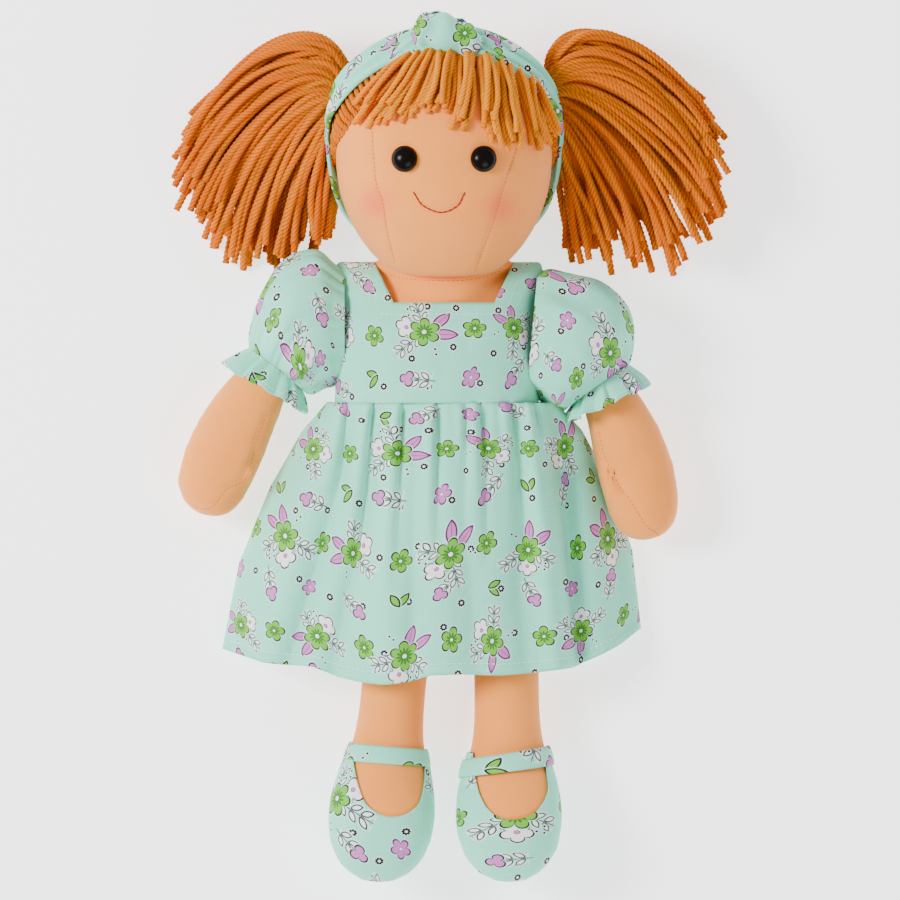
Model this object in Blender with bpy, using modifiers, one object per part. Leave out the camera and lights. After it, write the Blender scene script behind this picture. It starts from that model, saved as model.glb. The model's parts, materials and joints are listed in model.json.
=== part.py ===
"""A stuffed rag doll in a cotton dress, lying on its back.

The doll's back rests on z = 0 with its face up, its head towards +Y and its own left arm towards +X.
The origin lies on the flat of the dress's back. Lengths are metres, and names ending in share or
shares are parts of a named length.
"""

import math

import bmesh
import bpy
from mathutils import Matrix, Vector
from mathutils.bvhtree import BVHTree

# Fits between touching pieces, and the thickness of the cloth
CLEARANCE = 0.0003
CLOTH = 0.0010
BACK_FLAT = 0.0005
OVERRUN = 0.0400
BLEND_STEPS = 5

# The trunk, from the tops of the shoulders to the seam that the legs hang from
TORSO_LENGTH = 0.1035
TORSO_WIDTH = 0.0800
TORSO_DEPTH = 0.0500
SHOULDER_HEIGHT = 0.0360
CHEST_SHIFT = 0.0035

# The round neck, which the head is sewn over
NECK_RADIUS = 0.0220
NECK_CENTRE = 0.0262
NECK_GAP = 0.0030

# The head
HEAD_HEIGHT = 0.0955
HEAD_WIDTH = 0.0890
HEAD_DEPTH = 0.0800
HEAD_BASE = 0.0275

# Glossy safety eyes, each held by a washer inside the head
EYE_DIAMETER = 0.0107
EYE_DOME = 0.0040
EYE_SPACING = 0.0306
EYE_HEIGHT = 0.0761
EYE_TURN = math.radians(13.0)
SHANK_DIAMETER = 0.0030
SHANK_LENGTH = 0.0085
WASHER_DIAMETER = 0.0110
WASHER_THICKNESS = 0.0016
WASHER_DEPTH = 0.0050

# Hair
HAIR_THICKNESS = 0.0030
FRINGE_THICKNESS = 0.0034
TIE_HEIGHTS = {"left": 0.1030, "right": 0.1010}
TIE_LIFT = 0.0350
TIE_CORD = 0.0026
BUNCH_NECK = 0.0110
PIGTAIL_LENGTH = {"left": 0.0960, "right": 0.0900}
PIGTAIL_THICKNESS = 0.0270

# The cloth band over the head and its knot
BAND_THICKNESS = 0.0014
BAND_WIDTH = 0.0110
HAIRLINE_SETBACK = 0.0030
KNOT_WIDTH = 0.0310
KNOT_HEIGHT = 0.0180
KNOT_DEPTH = 0.0170
KNOT_SHIFT = 0.0018
KNOT_SINK = 0.0012

# Arms, sleeves and cuffs; the two arms lie at slightly different turns
ARM_LENGTH = 0.0945
ARM_WIDTH = 0.0320
ARM_DEPTH = 0.0275
ARM_PIVOT_OUT = {"left": 0.0432, "right": 0.0455}
ARM_PIVOT_HEIGHT = {"left": 0.0070, "right": 0.0100}
ARM_REST_TURN = {"left": math.radians(-9.0), "right": math.radians(0.0)}
ARM_LIFT = {"left": 0.0040, "right": 0.0010}
THUMB_LENGTH = 0.0150
THUMB_WIDTH = 0.0080
SLEEVE_RADIUS = 0.0315
SLEEVE_DEPTH = 0.0420
ELASTIC_WIDTH = 0.0040
ELASTIC_THICKNESS = 0.0008
ARMHOLE_DIAMETER = 0.0170

# The bodice's neckline
NECKLINE_TOP_WIDTH = 0.0570
NECKLINE_LOW_WIDTH = 0.0410
NECKLINE_HEIGHT = 0.0190
NAPE_HEIGHT = 0.0270

# The skirt
WAIST_HEIGHT = -0.0212
SKIRT_LENGTH = 0.1135
SKIRT_WIDTH = 0.1700
SKIRT_FRONT = 0.0530
SKIRT_SHIFT = 0.0050
HEM_RISE = 0.0176
HEM_TILT = 0.0036
FOLD_DEPTH = 0.0170

# Legs and shoes
LEG_LENGTH = 0.1478
HIP_LAP = {"left": 0.0042, "right": 0.0036}
HIP_GAP = 0.0008
LEG_WIDTH = 0.0284
FOOT_WIDTH = 0.0438
FOOT_DEPTH = 0.0370
HIP_OUT = {"left": 0.0340, "right": 0.0260}
FOLD_DROP = 0.0005
LEG_OFFSETS = {"left": 0.0240, "right": 0.0135}
LEG_SPLAY = {"left": math.radians(1.0), "right": math.radians(5.4)}
SHOE_TOP = 0.0987
STRAP_WIDTH = 0.0070
STRAP_SLANT = 0.0014
VAMP_WIDTH = 0.0275
VAMP_LENGTH = 0.0255

# Colours (red, green, blue) and roughness of the materials
SKIN = ((0.78, 0.45, 0.25), 0.85)
MINT = ((0.42, 0.66, 0.56), 0.90)
HAIR = ((0.60, 0.20, 0.03), 0.90)
FRINGE = ((0.72, 0.33, 0.08), 0.90)
BLACK = ((0.010, 0.008, 0.007), 0.12)
WHITE_PLASTIC = ((0.75, 0.75, 0.73), 0.40)
ELASTIC = ((0.80, 0.80, 0.78), 0.70)

# Each row of a share table is one ring of a stuffed form:
# place along the length, half width, half depth and, for the head, height of the middle
TORSO_SHARES = (
    (0.030, 0.72, 0.34),
    (0.110, 0.96, 0.66),
    (0.260, 0.97, 0.99),
    (0.440, 1.00, 1.02),
    (0.620, 1.00, 0.97),
    (0.770, 0.97, 0.76),
    (0.875, 0.94, 0.44),
    (0.962, 0.88, 0.13),
)
HEAD_SHARES = (
    (0.955, 0.44, 0.46, 0.00),
    (0.850, 0.80, 0.81, 0.00),
    (0.710, 0.97, 0.96, 0.00),
    (0.550, 1.01, 1.02, 0.00),
    (0.390, 0.98, 0.98, -0.02),
    (0.250, 0.88, 0.89, -0.05),
    (0.130, 0.70, 0.73, -0.10),
    (0.040, 0.48, 0.50, -0.14),
)
# Place out from the shoulder and down it, turn of the ring, half width, half depth, drop
ARM_SHARES = (
    (0.025, -0.010, 84.0, 0.16, 0.16, 0.00),
    (0.110, -0.050, 72.0, 0.44, 0.40, 0.03),
    (0.205, -0.130, 56.0, 0.62, 0.66, 0.18),
    (0.310, -0.270, 40.0, 0.80, 0.90, 0.34),
    (0.405, -0.425, 30.0, 1.01, 1.02, 0.46),
    (0.480, -0.590, 25.0, 1.02, 1.03, 0.50),
    (0.530, -0.720, 22.0, 0.95, 0.94, 0.52),
    (0.552, -0.795, 20.0, 0.62, 0.64, 0.52),
)
ARM_TIP_SHARES = (0.560, -0.835, 0.52)
# Outer edge, inner edge, half depth and drop of each ring of the puffed sleeve, against its radius
SLEEVE_SHARES = (
    (-0.300, 0.600, -0.300, -0.680, 0.66, 0.00),
    (0.060, 0.960, -0.020, -0.800, 1.00, 0.00),
    (0.560, 0.900, 0.180, -0.880, 1.12, 0.02),
    (0.980, 0.380, 0.320, -0.860, 0.98, 0.08),
    (1.060, -0.230, 0.400, -0.790, 0.70, 0.17),
)
CUFF_SHARES = (
    (1.100, -0.300, 0.420, -0.840, 0.68, 0.18),
    (1.260, -0.300, 0.370, -1.010, 0.76, 0.20),
    (1.460, -0.310, 0.340, -1.220, 0.86, 0.22),
)
# Place down the skirt, half width, front height, roundness in front, and how far the back is round too
SKIRT_SHARES = (
    (0.000, 0.540, 1.010, 2.00, 1.00),
    (0.120, 0.650, 1.050, 1.80, 0.50),
    (0.340, 0.800, 1.030, 1.40, 0.00),
    (0.650, 0.930, 0.930, 1.30, 0.00),
    (1.000, 1.000, 0.860, 1.45, 0.00),
)
# How far each gather stands out or in, round the front of the skirt from the doll's left to its right
FOLD_SHARES = (0.3, -1.3, 0.9, -0.7, 0.8, -0.8, 0.7, -0.9, 1.0, -0.6, 0.2)
# Place down the leg, half width, half depth, height of the middle, tilt in degrees
LEG_SHARES = (
    (0.012, 0.90, 0.14, 0.905, 0.0),
    (0.080, 1.02, 0.50, 0.850, 0.0),
    (0.190, 1.02, 0.88, 0.740, 0.0),
    (0.370, 1.00, 1.00, 0.610, 0.0),
    (0.560, 1.00, 1.00, 0.565, 0.0),
    (0.640, 1.08, 1.06, 0.580, 8.0),
)
FOOT_SHARES = (
    (0.735, 0.90, 0.92, 0.720, 26.0),
    (0.830, 1.02, 1.00, 0.960, 38.0),
    (0.920, 0.92, 0.86, 1.180, 44.0),
    (0.975, 0.62, 0.56, 1.300, 48.0),
)
TOE_SHARES = (1.000, 1.370)
# Edges and thickness of each ring of a pigtail, from its tie to its tips
PIGTAIL_SHARES = (
    (0.105, 0.245, 0.080, -0.090, 0.80, 0.00),
    (0.230, 0.270, 0.050, -0.220, 1.00, 0.12),
    (0.450, 0.150, 0.055, -0.380, 1.02, 0.36),
    (0.665, -0.040, 0.065, -0.540, 0.92, 0.68),
    (0.755, -0.290, 0.115, -0.690, 0.70, 1.00),
    (0.735, -0.560, 0.270, -0.770, 0.36, 1.30),
)
PIGTAIL_TIP_SHARES = (0.500, -0.750, 1.42)
# How far out from the wig and how wide the bunch is where it passes through its tie
BUNCH_SHARES = ((0.10, 1.00), (1.20, 0.94), (1.80, 1.02))
# Where the yarn meets the face, as places up and across the head, seen from the side
HAIRLINE_SHARES = (
    (1.130, 0.240),
    (0.930, 0.220),
    (0.700, 0.160),
    (0.520, 0.105),
    (0.360, 0.020),
    (0.230, -0.110),
    (0.150, -0.270),
    (0.105, -0.450),
    (0.100, -0.560),
)
# The ends of the fringe, as places across and up the head, from the doll's right to its left
FRINGE_END_SHARES = (
    (-0.400, 0.700),
    (-0.330, 0.672),
    (-0.270, 0.735),
    (-0.210, 0.690),
    (-0.130, 0.735),
    (-0.070, 0.675),
    (0.000, 0.720),
    (0.080, 0.650),
    (0.160, 0.690),
    (0.220, 0.585),
    (0.290, 0.640),
    (0.350, 0.555),
    (0.420, 0.620),
    (0.490, 0.590),
)

# The vamp's floor and the strap's underside, as a share of the leg's thickness
INSTEP_SHARE = 0.72
# How far down the trunk its chest ends
CHEST_SHARE = 0.50
# Where the rings of the thumb and of the knot lie, from their middles to their ends
THUMB_RING_SHARES = (-0.70, 0.00, 0.70)
KNOT_RING_SHARES = (-0.80, -0.30, 0.30, 0.80)
# The thumb: place out from the shoulder and down it, turn in degrees, height, thickness
THUMB_SHARES = (0.365, -0.610, 64.0, 0.66, 0.85)

SIDES = {"left": 1.0, "right": -1.0}
HEAD_SIDES = 12
LIMB_SIDES = 8
SLEEVE_SIDES = 12
BALL_SIDES = 20
TURNED_STEPS = 14

TORSO_MIDDLE = TORSO_DEPTH / 2 + CLEARANCE + CLOTH - BACK_FLAT
HEAD_MIDDLE = HEAD_DEPTH / 2 + 2 * CLEARANCE + HAIR_THICKNESS + BAND_THICKNESS
SEAT_HEIGHT = SHOULDER_HEIGHT - TORSO_LENGTH
HAIR_OUTSIDE = CLEARANCE + HAIR_THICKNESS
BAND_INSIDE = HAIR_OUTSIDE + CLEARANCE
BAND_OUTSIDE = BAND_INSIDE + BAND_THICKNESS


def clear_scene():
    """Remove what the file holds, so that the doll stands alone."""
    for item in list(bpy.data.objects):
        bpy.data.objects.remove(item, do_unlink=True)
    for group in list(bpy.data.collections):
        bpy.data.collections.remove(group)


def new_collection(name):
    """A collection linked to the scene."""
    group = bpy.data.collections.new(name)
    bpy.context.scene.collection.children.link(group)
    return group


clear_scene()
PARTS = new_collection("rag_doll")
CUTTERS = new_collection("rag_doll_cutters")
TIE_PLACES = {}


def material(name, finish):
    """A plain Principled material in one colour."""
    found = bpy.data.materials.get(name)
    if found is not None:
        return found
    colour, roughness = finish
    made = bpy.data.materials.new(name)
    made.use_nodes = True
    shader = made.node_tree.nodes["Principled BSDF"]
    shader.inputs["Base Color"].default_value = (*colour, 1.0)
    shader.inputs["Roughness"].default_value = roughness
    shader.inputs["Metallic"].default_value = 0.0
    made.diffuse_color = (*colour, 1.0)
    return made


def place(name, mesh, finish=None):
    """Link a mesh as a part, or as a hidden cutter where it has no finish."""
    item = bpy.data.objects.new(name, mesh)
    if finish is None:
        CUTTERS.objects.link(item)
        item.hide_render = True
        item.display_type = "WIRE"
        return item
    PARTS.objects.link(item)
    item.data.materials.append(material(name + "_finish", finish))
    item.data.shade_smooth()
    return item


def mesh_from(bm, name):
    """Turn an edited mesh into mesh data, with its faces pointing out."""
    bm.normal_update()
    bmesh.ops.recalc_face_normals(bm, faces=bm.faces)
    mesh = bpy.data.meshes.new(name)
    bm.to_mesh(mesh)
    bm.free()
    return mesh


def smooth(item):
    """One level of subdivision, the same in the viewport and in renders."""
    modifier = item.modifiers.new("stuffing", "SUBSURF")
    modifier.levels = 1
    modifier.render_levels = 1
    return item


def boolean(item, cutter, operation="DIFFERENCE"):
    """Cut, keep or join one object with another."""
    modifier = item.modifiers.new(operation.lower(), "BOOLEAN")
    modifier.operation = operation
    modifier.solver = "EXACT"
    modifier.object = cutter
    return item


def grid_share(sides):
    """How much a ring of this many corners must be widened to be its full size once it is smoothed."""
    return 3.0 / (2.0 + math.cos(2.0 * math.pi / sides))


def ring_points(ring, sides, grow):
    """The corners of one ring: middle, across, up, half width and half depth."""
    middle, across, up, half_width, half_depth = ring
    share = grid_share(sides)
    points = []
    for number in range(sides):
        turn = 2.0 * math.pi * number / sides
        out = across * ((half_width + grow) * share * math.cos(turn))
        points.append(middle + out + up * ((half_depth + grow) * share * math.sin(turn)))
    return points


def stuffed(name, first, rings, last, sides, finish=None, grow=0.0):
    """A closed stuffed form: a ball whose rings are moved to the given sections, then smoothed.

    grow makes the whole form stand that much further out, for cloth that covers it and for room.
    """
    bm = bmesh.new()
    rows = len(rings) + 1
    bmesh.ops.create_uvsphere(bm, u_segments=sides, v_segments=rows, radius=1.0)
    sections = [ring_points(ring, sides, grow) for ring in rings]
    lead_in = (first - rings[0][0]).normalized() * grow
    lead_out = (last - rings[-1][0]).normalized() * grow
    for vert in bm.verts:
        row = round(math.acos(max(-1.0, min(1.0, vert.co.z))) * rows / math.pi)
        if row == 0:
            vert.co = first + lead_in
        elif row == rows:
            vert.co = last + lead_out
        else:
            turn = math.atan2(vert.co.y, vert.co.x)
            number = round(turn * sides / (2.0 * math.pi)) % sides
            vert.co = sections[row - 1][number]
    return smooth(place(name, mesh_from(bm, name), finish))


def tube(name, sections, finish=None, wall=0.0, grow=0.0):
    """A tube through rings of corners: cloth with its thickness inwards, or solid as a cutter."""
    bm = bmesh.new()
    sides = len(sections[0])
    bmesh.ops.create_grid(bm, x_segments=sides, y_segments=len(sections) - 1, size=1.0)
    bm.verts.ensure_lookup_table()
    for row, section in enumerate(sections):
        for number in range(sides + 1):
            bm.verts[row * (sides + 1) + number].co = section[number % sides]
    bmesh.ops.remove_doubles(bm, verts=bm.verts, dist=CLEARANCE / 10)
    if not wall:
        bmesh.ops.holes_fill(bm, edges=bm.edges, sides=sides)
    item = smooth(place(name, mesh_from(bm, name), finish))
    if grow:
        push = item.modifiers.new("room", "DISPLACE")
        push.strength = grow
        push.mid_level = 0.0
    if wall:
        modifier = item.modifiers.new("cloth", "SOLIDIFY")
        modifier.thickness = wall
        modifier.offset = -1.0
        modifier.use_even_offset = True
    return item


def prism(name, outline, direction, low, high):
    """A cutter: a flat outline drawn on two axes and carried along the third, 0 for X and 2 for Z."""
    bm = bmesh.new()
    corners = []
    for a, b in outline:
        spot = (low, a, b) if direction == 0 else (a, b, low)
        corners.append(bm.verts.new(spot))
    face = bm.faces.new(corners)
    grown = bmesh.ops.extrude_face_region(bm, geom=[face])
    step = Vector((high - low, 0, 0)) if direction == 0 else Vector((0, 0, high - low))
    moved = [item for item in grown["geom"] if isinstance(item, bmesh.types.BMVert)]
    bmesh.ops.translate(bm, verts=moved, vec=step)
    return place(name, mesh_from(bm, name))


def block(name, low, high):
    """A box cutter between two corners."""
    outline = ((low[0], low[1]), (high[0], low[1]), (high[0], high[1]), (low[0], high[1]))
    return prism(name, outline, 2, low[2], high[2])


def turned(name, profile, finish):
    """A turned piece: a profile of radius and height down its outer side, spun with Screw."""
    mesh = bpy.data.meshes.new(name)
    bm = bmesh.new()
    closed = profile[0] == profile[-1]
    verts = [bm.verts.new((radius, 0, height)) for radius, height in profile[closed:]]
    pairs = zip(verts[-1:] + verts, verts) if closed else zip(verts, verts[1:])
    for a, b in pairs:
        bm.edges.new((a, b))
    bm.to_mesh(mesh)
    bm.free()
    item = place(name, mesh, finish)
    modifier = item.modifiers.new("turn", "SCREW")
    modifier.steps = TURNED_STEPS
    modifier.render_steps = TURNED_STEPS
    modifier.use_merge_vertices = True
    modifier.merge_threshold = CLEARANCE / 10
    return item


def ball(name, radius, centre):
    """A round cutter whose facets run round the X axis, so that it can turn about that axis."""
    bm = bmesh.new()
    bmesh.ops.create_uvsphere(bm, u_segments=BALL_SIDES, v_segments=BALL_SIDES // 2, radius=radius)
    bmesh.ops.rotate(bm, verts=bm.verts, matrix=Matrix.Rotation(math.radians(90.0), 3, "Y"))
    bmesh.ops.translate(bm, verts=bm.verts, vec=centre)
    return place(name, mesh_from(bm, name))


def surface(item):
    """A search tree over the object's finished shape, to find places on it."""
    bpy.context.view_layer.update()
    shape = item.evaluated_get(bpy.context.evaluated_depsgraph_get())
    mesh = shape.to_mesh()
    points = [item.matrix_world @ vert.co for vert in mesh.vertices]
    faces = [tuple(face.vertices) for face in mesh.polygons]
    tree = BVHTree.FromPolygons(points, faces)
    shape.to_mesh_clear()
    return tree


def smooth_line(points, steps):
    """A line through all the points without corners (Catmull-Rom)."""
    line = []
    for number in range(len(points) - 1):
        before = Vector(points[max(number - 1, 0)])
        start = Vector(points[number])
        end = Vector(points[number + 1])
        after = Vector(points[min(number + 2, len(points) - 1)])
        for step in range(steps):
            t = step / steps
            spot = 2.0 * start + (end - before) * t
            spot += (2.0 * before - 5.0 * start + 4.0 * end - after) * t * t
            spot += (3.0 * start - before - 3.0 * end + after) * t * t * t
            line.append(spot * 0.5)
    line.append(Vector(points[-1]))
    return line


X_AXIS = Vector((1, 0, 0))
Y_AXIS = Vector((0, 1, 0))
Z_AXIS = Vector((0, 0, 1))


def torso_form(name, finish=None, grow=0.0):
    """The trunk, widest at the waist, drawn flat at the seam that the legs hang from."""
    rings = []
    for along, width, depth in TORSO_SHARES:
        shift = -CHEST_SHIFT if along < CHEST_SHARE else 0.0
        middle = Vector((shift, SHOULDER_HEIGHT - along * TORSO_LENGTH, TORSO_MIDDLE))
        rings.append((middle, X_AXIS, Z_AXIS, width * TORSO_WIDTH / 2, depth * TORSO_DEPTH / 2))
    first = Vector((-CHEST_SHIFT, SHOULDER_HEIGHT, TORSO_MIDDLE))
    last = Vector((0, SEAT_HEIGHT, TORSO_MIDDLE))
    return stuffed(name, first, rings, last, HEAD_SIDES, finish, grow)


def head_form(name, finish=None, grow=0.0):
    """The egg-shaped head, its chin end towards the neck."""
    rings = []
    for up, width, depth, lift in HEAD_SHARES:
        middle = Vector((0, HEAD_BASE + up * HEAD_HEIGHT, HEAD_MIDDLE + lift * HEAD_DEPTH))
        rings.append((middle, X_AXIS, Z_AXIS, width * HEAD_WIDTH / 2, depth * HEAD_DEPTH / 2))
    first = Vector((0, HEAD_BASE + HEAD_HEIGHT, HEAD_MIDDLE))
    last = Vector((0, HEAD_BASE, HEAD_MIDDLE + HEAD_SHARES[-1][3] * HEAD_DEPTH))
    return stuffed(name, first, rings, last, HEAD_SIDES, finish, grow)


def neck_centre():
    """The middle of the round neck, which the head nods about."""
    return Vector((0, NECK_CENTRE, TORSO_MIDDLE))


def make_torso():
    """The trunk and the round neck in one."""
    torso = torso_form("torso", SKIN)
    boolean(torso, head_form("head_rest", None, NECK_GAP))
    neck = ball("neck_ball", NECK_RADIUS, neck_centre())
    return boolean(torso, neck, "UNION")


def hairline(offset, steps=BLEND_STEPS):
    """The line where the yarn meets the face, seen from the side, moved back by offset."""
    points = []
    for up, across in HAIRLINE_SHARES:
        points.append((HEAD_BASE + up * HEAD_HEIGHT, HEAD_MIDDLE + across * HEAD_DEPTH))
    line = smooth_line(points, steps)
    moved = []
    for number, spot in enumerate(line):
        ahead = line[min(number + 1, len(line) - 1)] - line[max(number - 1, 0)]
        back = Vector((ahead.y, -ahead.x)).normalized()
        side = back if back.y < 0 or back.x > 0 else -back
        moved.append(spot + side * offset)
    return moved


def behind_hairline(name, offset):
    """A cutter that holds everything behind the hairline, moved back by offset."""
    line = hairline(offset)
    top = HEAD_BASE + HEAD_HEIGHT + OVERRUN
    outline = [(top, line[0].y)] + [tuple(spot) for spot in line]
    outline += [(line[-1].x, -OVERRUN), (top, -OVERRUN)]
    return prism(name, outline, 0, -HEAD_WIDTH, HEAD_WIDTH)


def joint_axis(name, spot):
    """An empty on a joint's axis, for the pieces that turn about it."""
    made = bpy.data.objects.new(name, None)
    PARTS.objects.link(made)
    made.location = spot
    return made


def hang(empty, names):
    """Parent pieces to an empty on their joint's axis, where they lie."""
    for name in names:
        item = bpy.data.objects[name]
        item.parent = empty
        item.matrix_parent_inverse = Matrix.Translation(-empty.location)


def make_head():
    """The stuffed head, hollowed where it sits over the neck and where the eyes pass through."""
    head = head_form("head", SKIN)
    return boolean(head, ball("neck_socket", NECK_RADIUS + CLEARANCE, neck_centre()))


def eye_profile():
    """The eye from the top of its dome to the end of its shank."""
    radius = EYE_DIAMETER / 2
    points = []
    for step in range(BLEND_STEPS + 1):
        turn = math.radians(90.0) * step / BLEND_STEPS
        points.append((radius * math.sin(turn), EYE_DOME * math.cos(turn)))
    points.append((SHANK_DIAMETER / 2, 0))
    points.append((SHANK_DIAMETER / 2, -SHANK_LENGTH))
    points.append((0, -SHANK_LENGTH))
    return points


def washer_profile():
    """The washer's section, closed on itself."""
    inner = SHANK_DIAMETER / 2 + CLEARANCE
    outer = WASHER_DIAMETER / 2
    top = -WASHER_DEPTH
    low = top - WASHER_THICKNESS
    return [(inner, top), (outer, top), (outer, low), (inner, low), (inner, top)]


def pocket_profile():
    """The room that the shank and its washer take inside the head."""
    neck = SHANK_DIAMETER / 2 + CLEARANCE
    outer = WASHER_DIAMETER / 2 + CLEARANCE
    top = -WASHER_DEPTH + CLEARANCE
    low = -SHANK_LENGTH - CLEARANCE
    return [(0, EYE_DOME), (neck, EYE_DOME), (neck, top), (outer, top), (outer, low), (0, low)]


def make_eyes(head):
    """Both eyes with their washers, each square to the face where it sits."""
    tree = surface(head)
    sit = EYE_DIAMETER * EYE_DIAMETER / (4 * HEAD_DEPTH) + CLEARANCE
    pockets = []
    for side, sign in SIDES.items():
        above = Vector((sign * EYE_SPACING / 2, EYE_HEIGHT, HEAD_DEPTH + OVERRUN))
        spot, _, _, _ = tree.ray_cast(above, -Z_AXIS)
        turn = Matrix.Rotation(sign * EYE_TURN, 4, "Y")
        seat = Matrix.Translation(spot) @ turn
        out = Matrix.Translation(Vector((0, 0, CLEARANCE)))
        eye = turned("eye_" + side, eye_profile(), BLACK)
        washer = turned("eye_washer_" + side, washer_profile(), WHITE_PLASTIC)
        pocket = turned("eye_pocket_" + side, pocket_profile(), None)
        for item in (eye, washer, pocket):
            item.matrix_world = seat @ out
        pockets.append(pocket)
        flat = turned("eye_seat_" + side, seat_profile(sit), None)
        flat.matrix_world = seat
        pockets.append(flat)
    for pocket in pockets:
        boolean(head, pocket)


def seat_profile(sit):
    """A shallow flat that the stuffing is drawn in by, under the eye."""
    radius = EYE_DIAMETER / 2 + CLEARANCE
    return [(0, EYE_DOME), (radius, EYE_DOME), (radius, -sit / 4), (0, -sit / 4)]


def make_hair_cap():
    """The yarn wig: a shell over the back and top of the head, behind the hairline."""
    cap = head_form("hair_cap", HAIR, HAIR_OUTSIDE)
    boolean(cap, head_form("head_room", None, CLEARANCE))
    boolean(cap, behind_hairline("cap_region", 0.0), "INTERSECT")
    return boolean(cap, ball("cap_neck_room", NECK_RADIUS + 2 * CLEARANCE, neck_centre()))


def make_fringe():
    """The fringe: locks of yarn laid over the forehead, in front of the hairline."""
    fringe = head_form("fringe", FRINGE, CLEARANCE + FRINGE_THICKNESS)
    boolean(fringe, bpy.data.objects["head_room"])
    boolean(fringe, behind_hairline("fringe_back", -CLEARANCE))
    ends = [(x * HEAD_WIDTH, HEAD_BASE + y * HEAD_HEIGHT) for x, y in FRINGE_END_SHARES]
    top = HEAD_BASE + HEAD_HEIGHT + OVERRUN
    outline = ends + [(ends[-1][0], top), (ends[0][0], top)]
    region = prism("fringe_region", outline, 2, HEAD_MIDDLE, HEAD_DEPTH + OVERRUN)
    return boolean(fringe, region, "INTERSECT")


def make_headband():
    """The cloth band: a ring round the head just behind the hairline, over the yarn."""
    band = head_form("headband", MINT, BAND_OUTSIDE)
    boolean(band, head_form("band_room", None, BAND_INSIDE))
    boolean(band, behind_hairline("band_front", HAIRLINE_SETBACK), "INTERSECT")
    boolean(band, behind_hairline("band_back", HAIRLINE_SETBACK + BAND_WIDTH))
    return boolean(band, bpy.data.objects["cap_neck_room"])


def make_knot():
    """The knot on top of the band."""
    top = HEAD_BASE + HEAD_HEIGHT + BAND_OUTSIDE
    lift = HEAD_MIDDLE + HAIRLINE_SHARES[1][1] * HEAD_DEPTH - HAIRLINE_SETBACK - BAND_WIDTH / 2
    centre = Vector((KNOT_SHIFT, top - KNOT_SINK, lift))
    rings = []
    for share in KNOT_RING_SHARES:
        round_share = math.sqrt(1.0 - share * share)
        middle = centre - X_AXIS * (share * KNOT_WIDTH / 2)
        half = (round_share * KNOT_HEIGHT / 2, round_share * KNOT_DEPTH / 2)
        rings.append((middle, Y_AXIS, Z_AXIS, half[0], half[1]))
    ends = (centre + X_AXIS * (KNOT_WIDTH / 2), centre - X_AXIS * (KNOT_WIDTH / 2))
    knot = stuffed("headband_knot", ends[0], rings, ends[1], LIMB_SIDES, MINT)
    return boolean(knot, head_form("knot_room", None, BAND_OUTSIDE + CLEARANCE))


def tie_place(tree, side):
    """The place and direction on the wig where a pigtail is tied."""
    sign = SIDES[side]
    start = Vector((sign * (HEAD_WIDTH + OVERRUN), TIE_HEIGHTS[side], TIE_LIFT))
    spot, normal, _, _ = tree.ray_cast(start, -sign * X_AXIS)
    normal.z = 0
    return spot, normal.normalized()


def edge_rings(shares, length, depth, origin, sign, drop):
    """Rings given by their two edges on the ground plan, with half depth and drop."""
    rings = []
    for out_a, up_a, out_b, up_b, half_depth, down in shares:
        a = Vector((sign * out_a * length, up_a * length, 0))
        b = Vector((sign * out_b * length, up_b * length, 0))
        middle = origin + (a + b) / 2 - Z_AXIS * (down * drop)
        rings.append((middle, (a - b).normalized(), Z_AXIS, (a - b).length / 2, half_depth * depth / 2))
    return rings


def make_pigtails():
    """Both bunches of yarn, gathered in their ties and spread out flat beside the head."""
    room = head_form("pigtail_room", None, HAIR_OUTSIDE + CLEARANCE)
    tree = surface(room)
    band_room = head_form("pigtail_band_room", None, BAND_OUTSIDE + CLEARANCE)
    boolean(band_room, behind_hairline("pigtail_back", HAIRLINE_SETBACK + BAND_WIDTH + CLEARANCE))
    for side, sign in SIDES.items():
        spot, out = tie_place(tree, side)
        tie_out = spot + out * (TIE_CORD / 2)
        TIE_PLACES[side] = tie_out
        drop = spot.z - PIGTAIL_THICKNESS / 2
        up = Vector((-out.y, out.x, 0)) * sign
        rings = []
        for along, wide in BUNCH_SHARES:
            half = wide * BUNCH_NECK / 2
            rings.append((spot + out * (along * TIE_CORD), up, Z_AXIS, half, half))
        length = PIGTAIL_LENGTH[side]
        rings += edge_rings(PIGTAIL_SHARES, length, PIGTAIL_THICKNESS, spot, sign, drop)
        tip_out, tip_up, tip_down = PIGTAIL_TIP_SHARES
        tip = spot + Vector((sign * tip_out, tip_up, 0)) * length - Z_AXIS * (tip_down * drop)
        pigtail = stuffed("pigtail_" + side, spot - out * TIE_CORD, rings, tip, LIMB_SIDES, HAIR)
        boolean(pigtail, room)
        boolean(pigtail, band_room)
        turn = out.to_track_quat("Z", "Y").to_matrix().to_4x4()
        tie = turned("hair_tie_" + side, tie_profile(0), HAIR)
        groove = turned("tie_groove_" + side, tie_profile(CLEARANCE), None)
        for item in (tie, groove):
            item.matrix_world = Matrix.Translation(tie_out) @ turn
        boolean(pigtail, groove)
        boolean(tie, room)


def tie_profile(grow):
    """The round section of the cord wound about the root of a pigtail, closed on itself."""
    points = []
    for step in range(LIMB_SIDES + 1):
        turn = -2.0 * math.pi * (step % LIMB_SIDES) / LIMB_SIDES
        size = TIE_CORD / 2 + grow
        points.append((BUNCH_NECK / 2 + size * math.cos(turn), size * math.sin(turn)))
    return points


def arm_pivot(side):
    """The shoulder that an arm turns about."""
    return Vector((SIDES[side] * ARM_PIVOT_OUT[side], ARM_PIVOT_HEIGHT[side], TORSO_MIDDLE))


def arm_drop(side):
    """How far the middle of a hand lies below the shoulder."""
    return TORSO_MIDDLE - ARM_DEPTH / 2 - ARM_LIFT[side]


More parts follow.
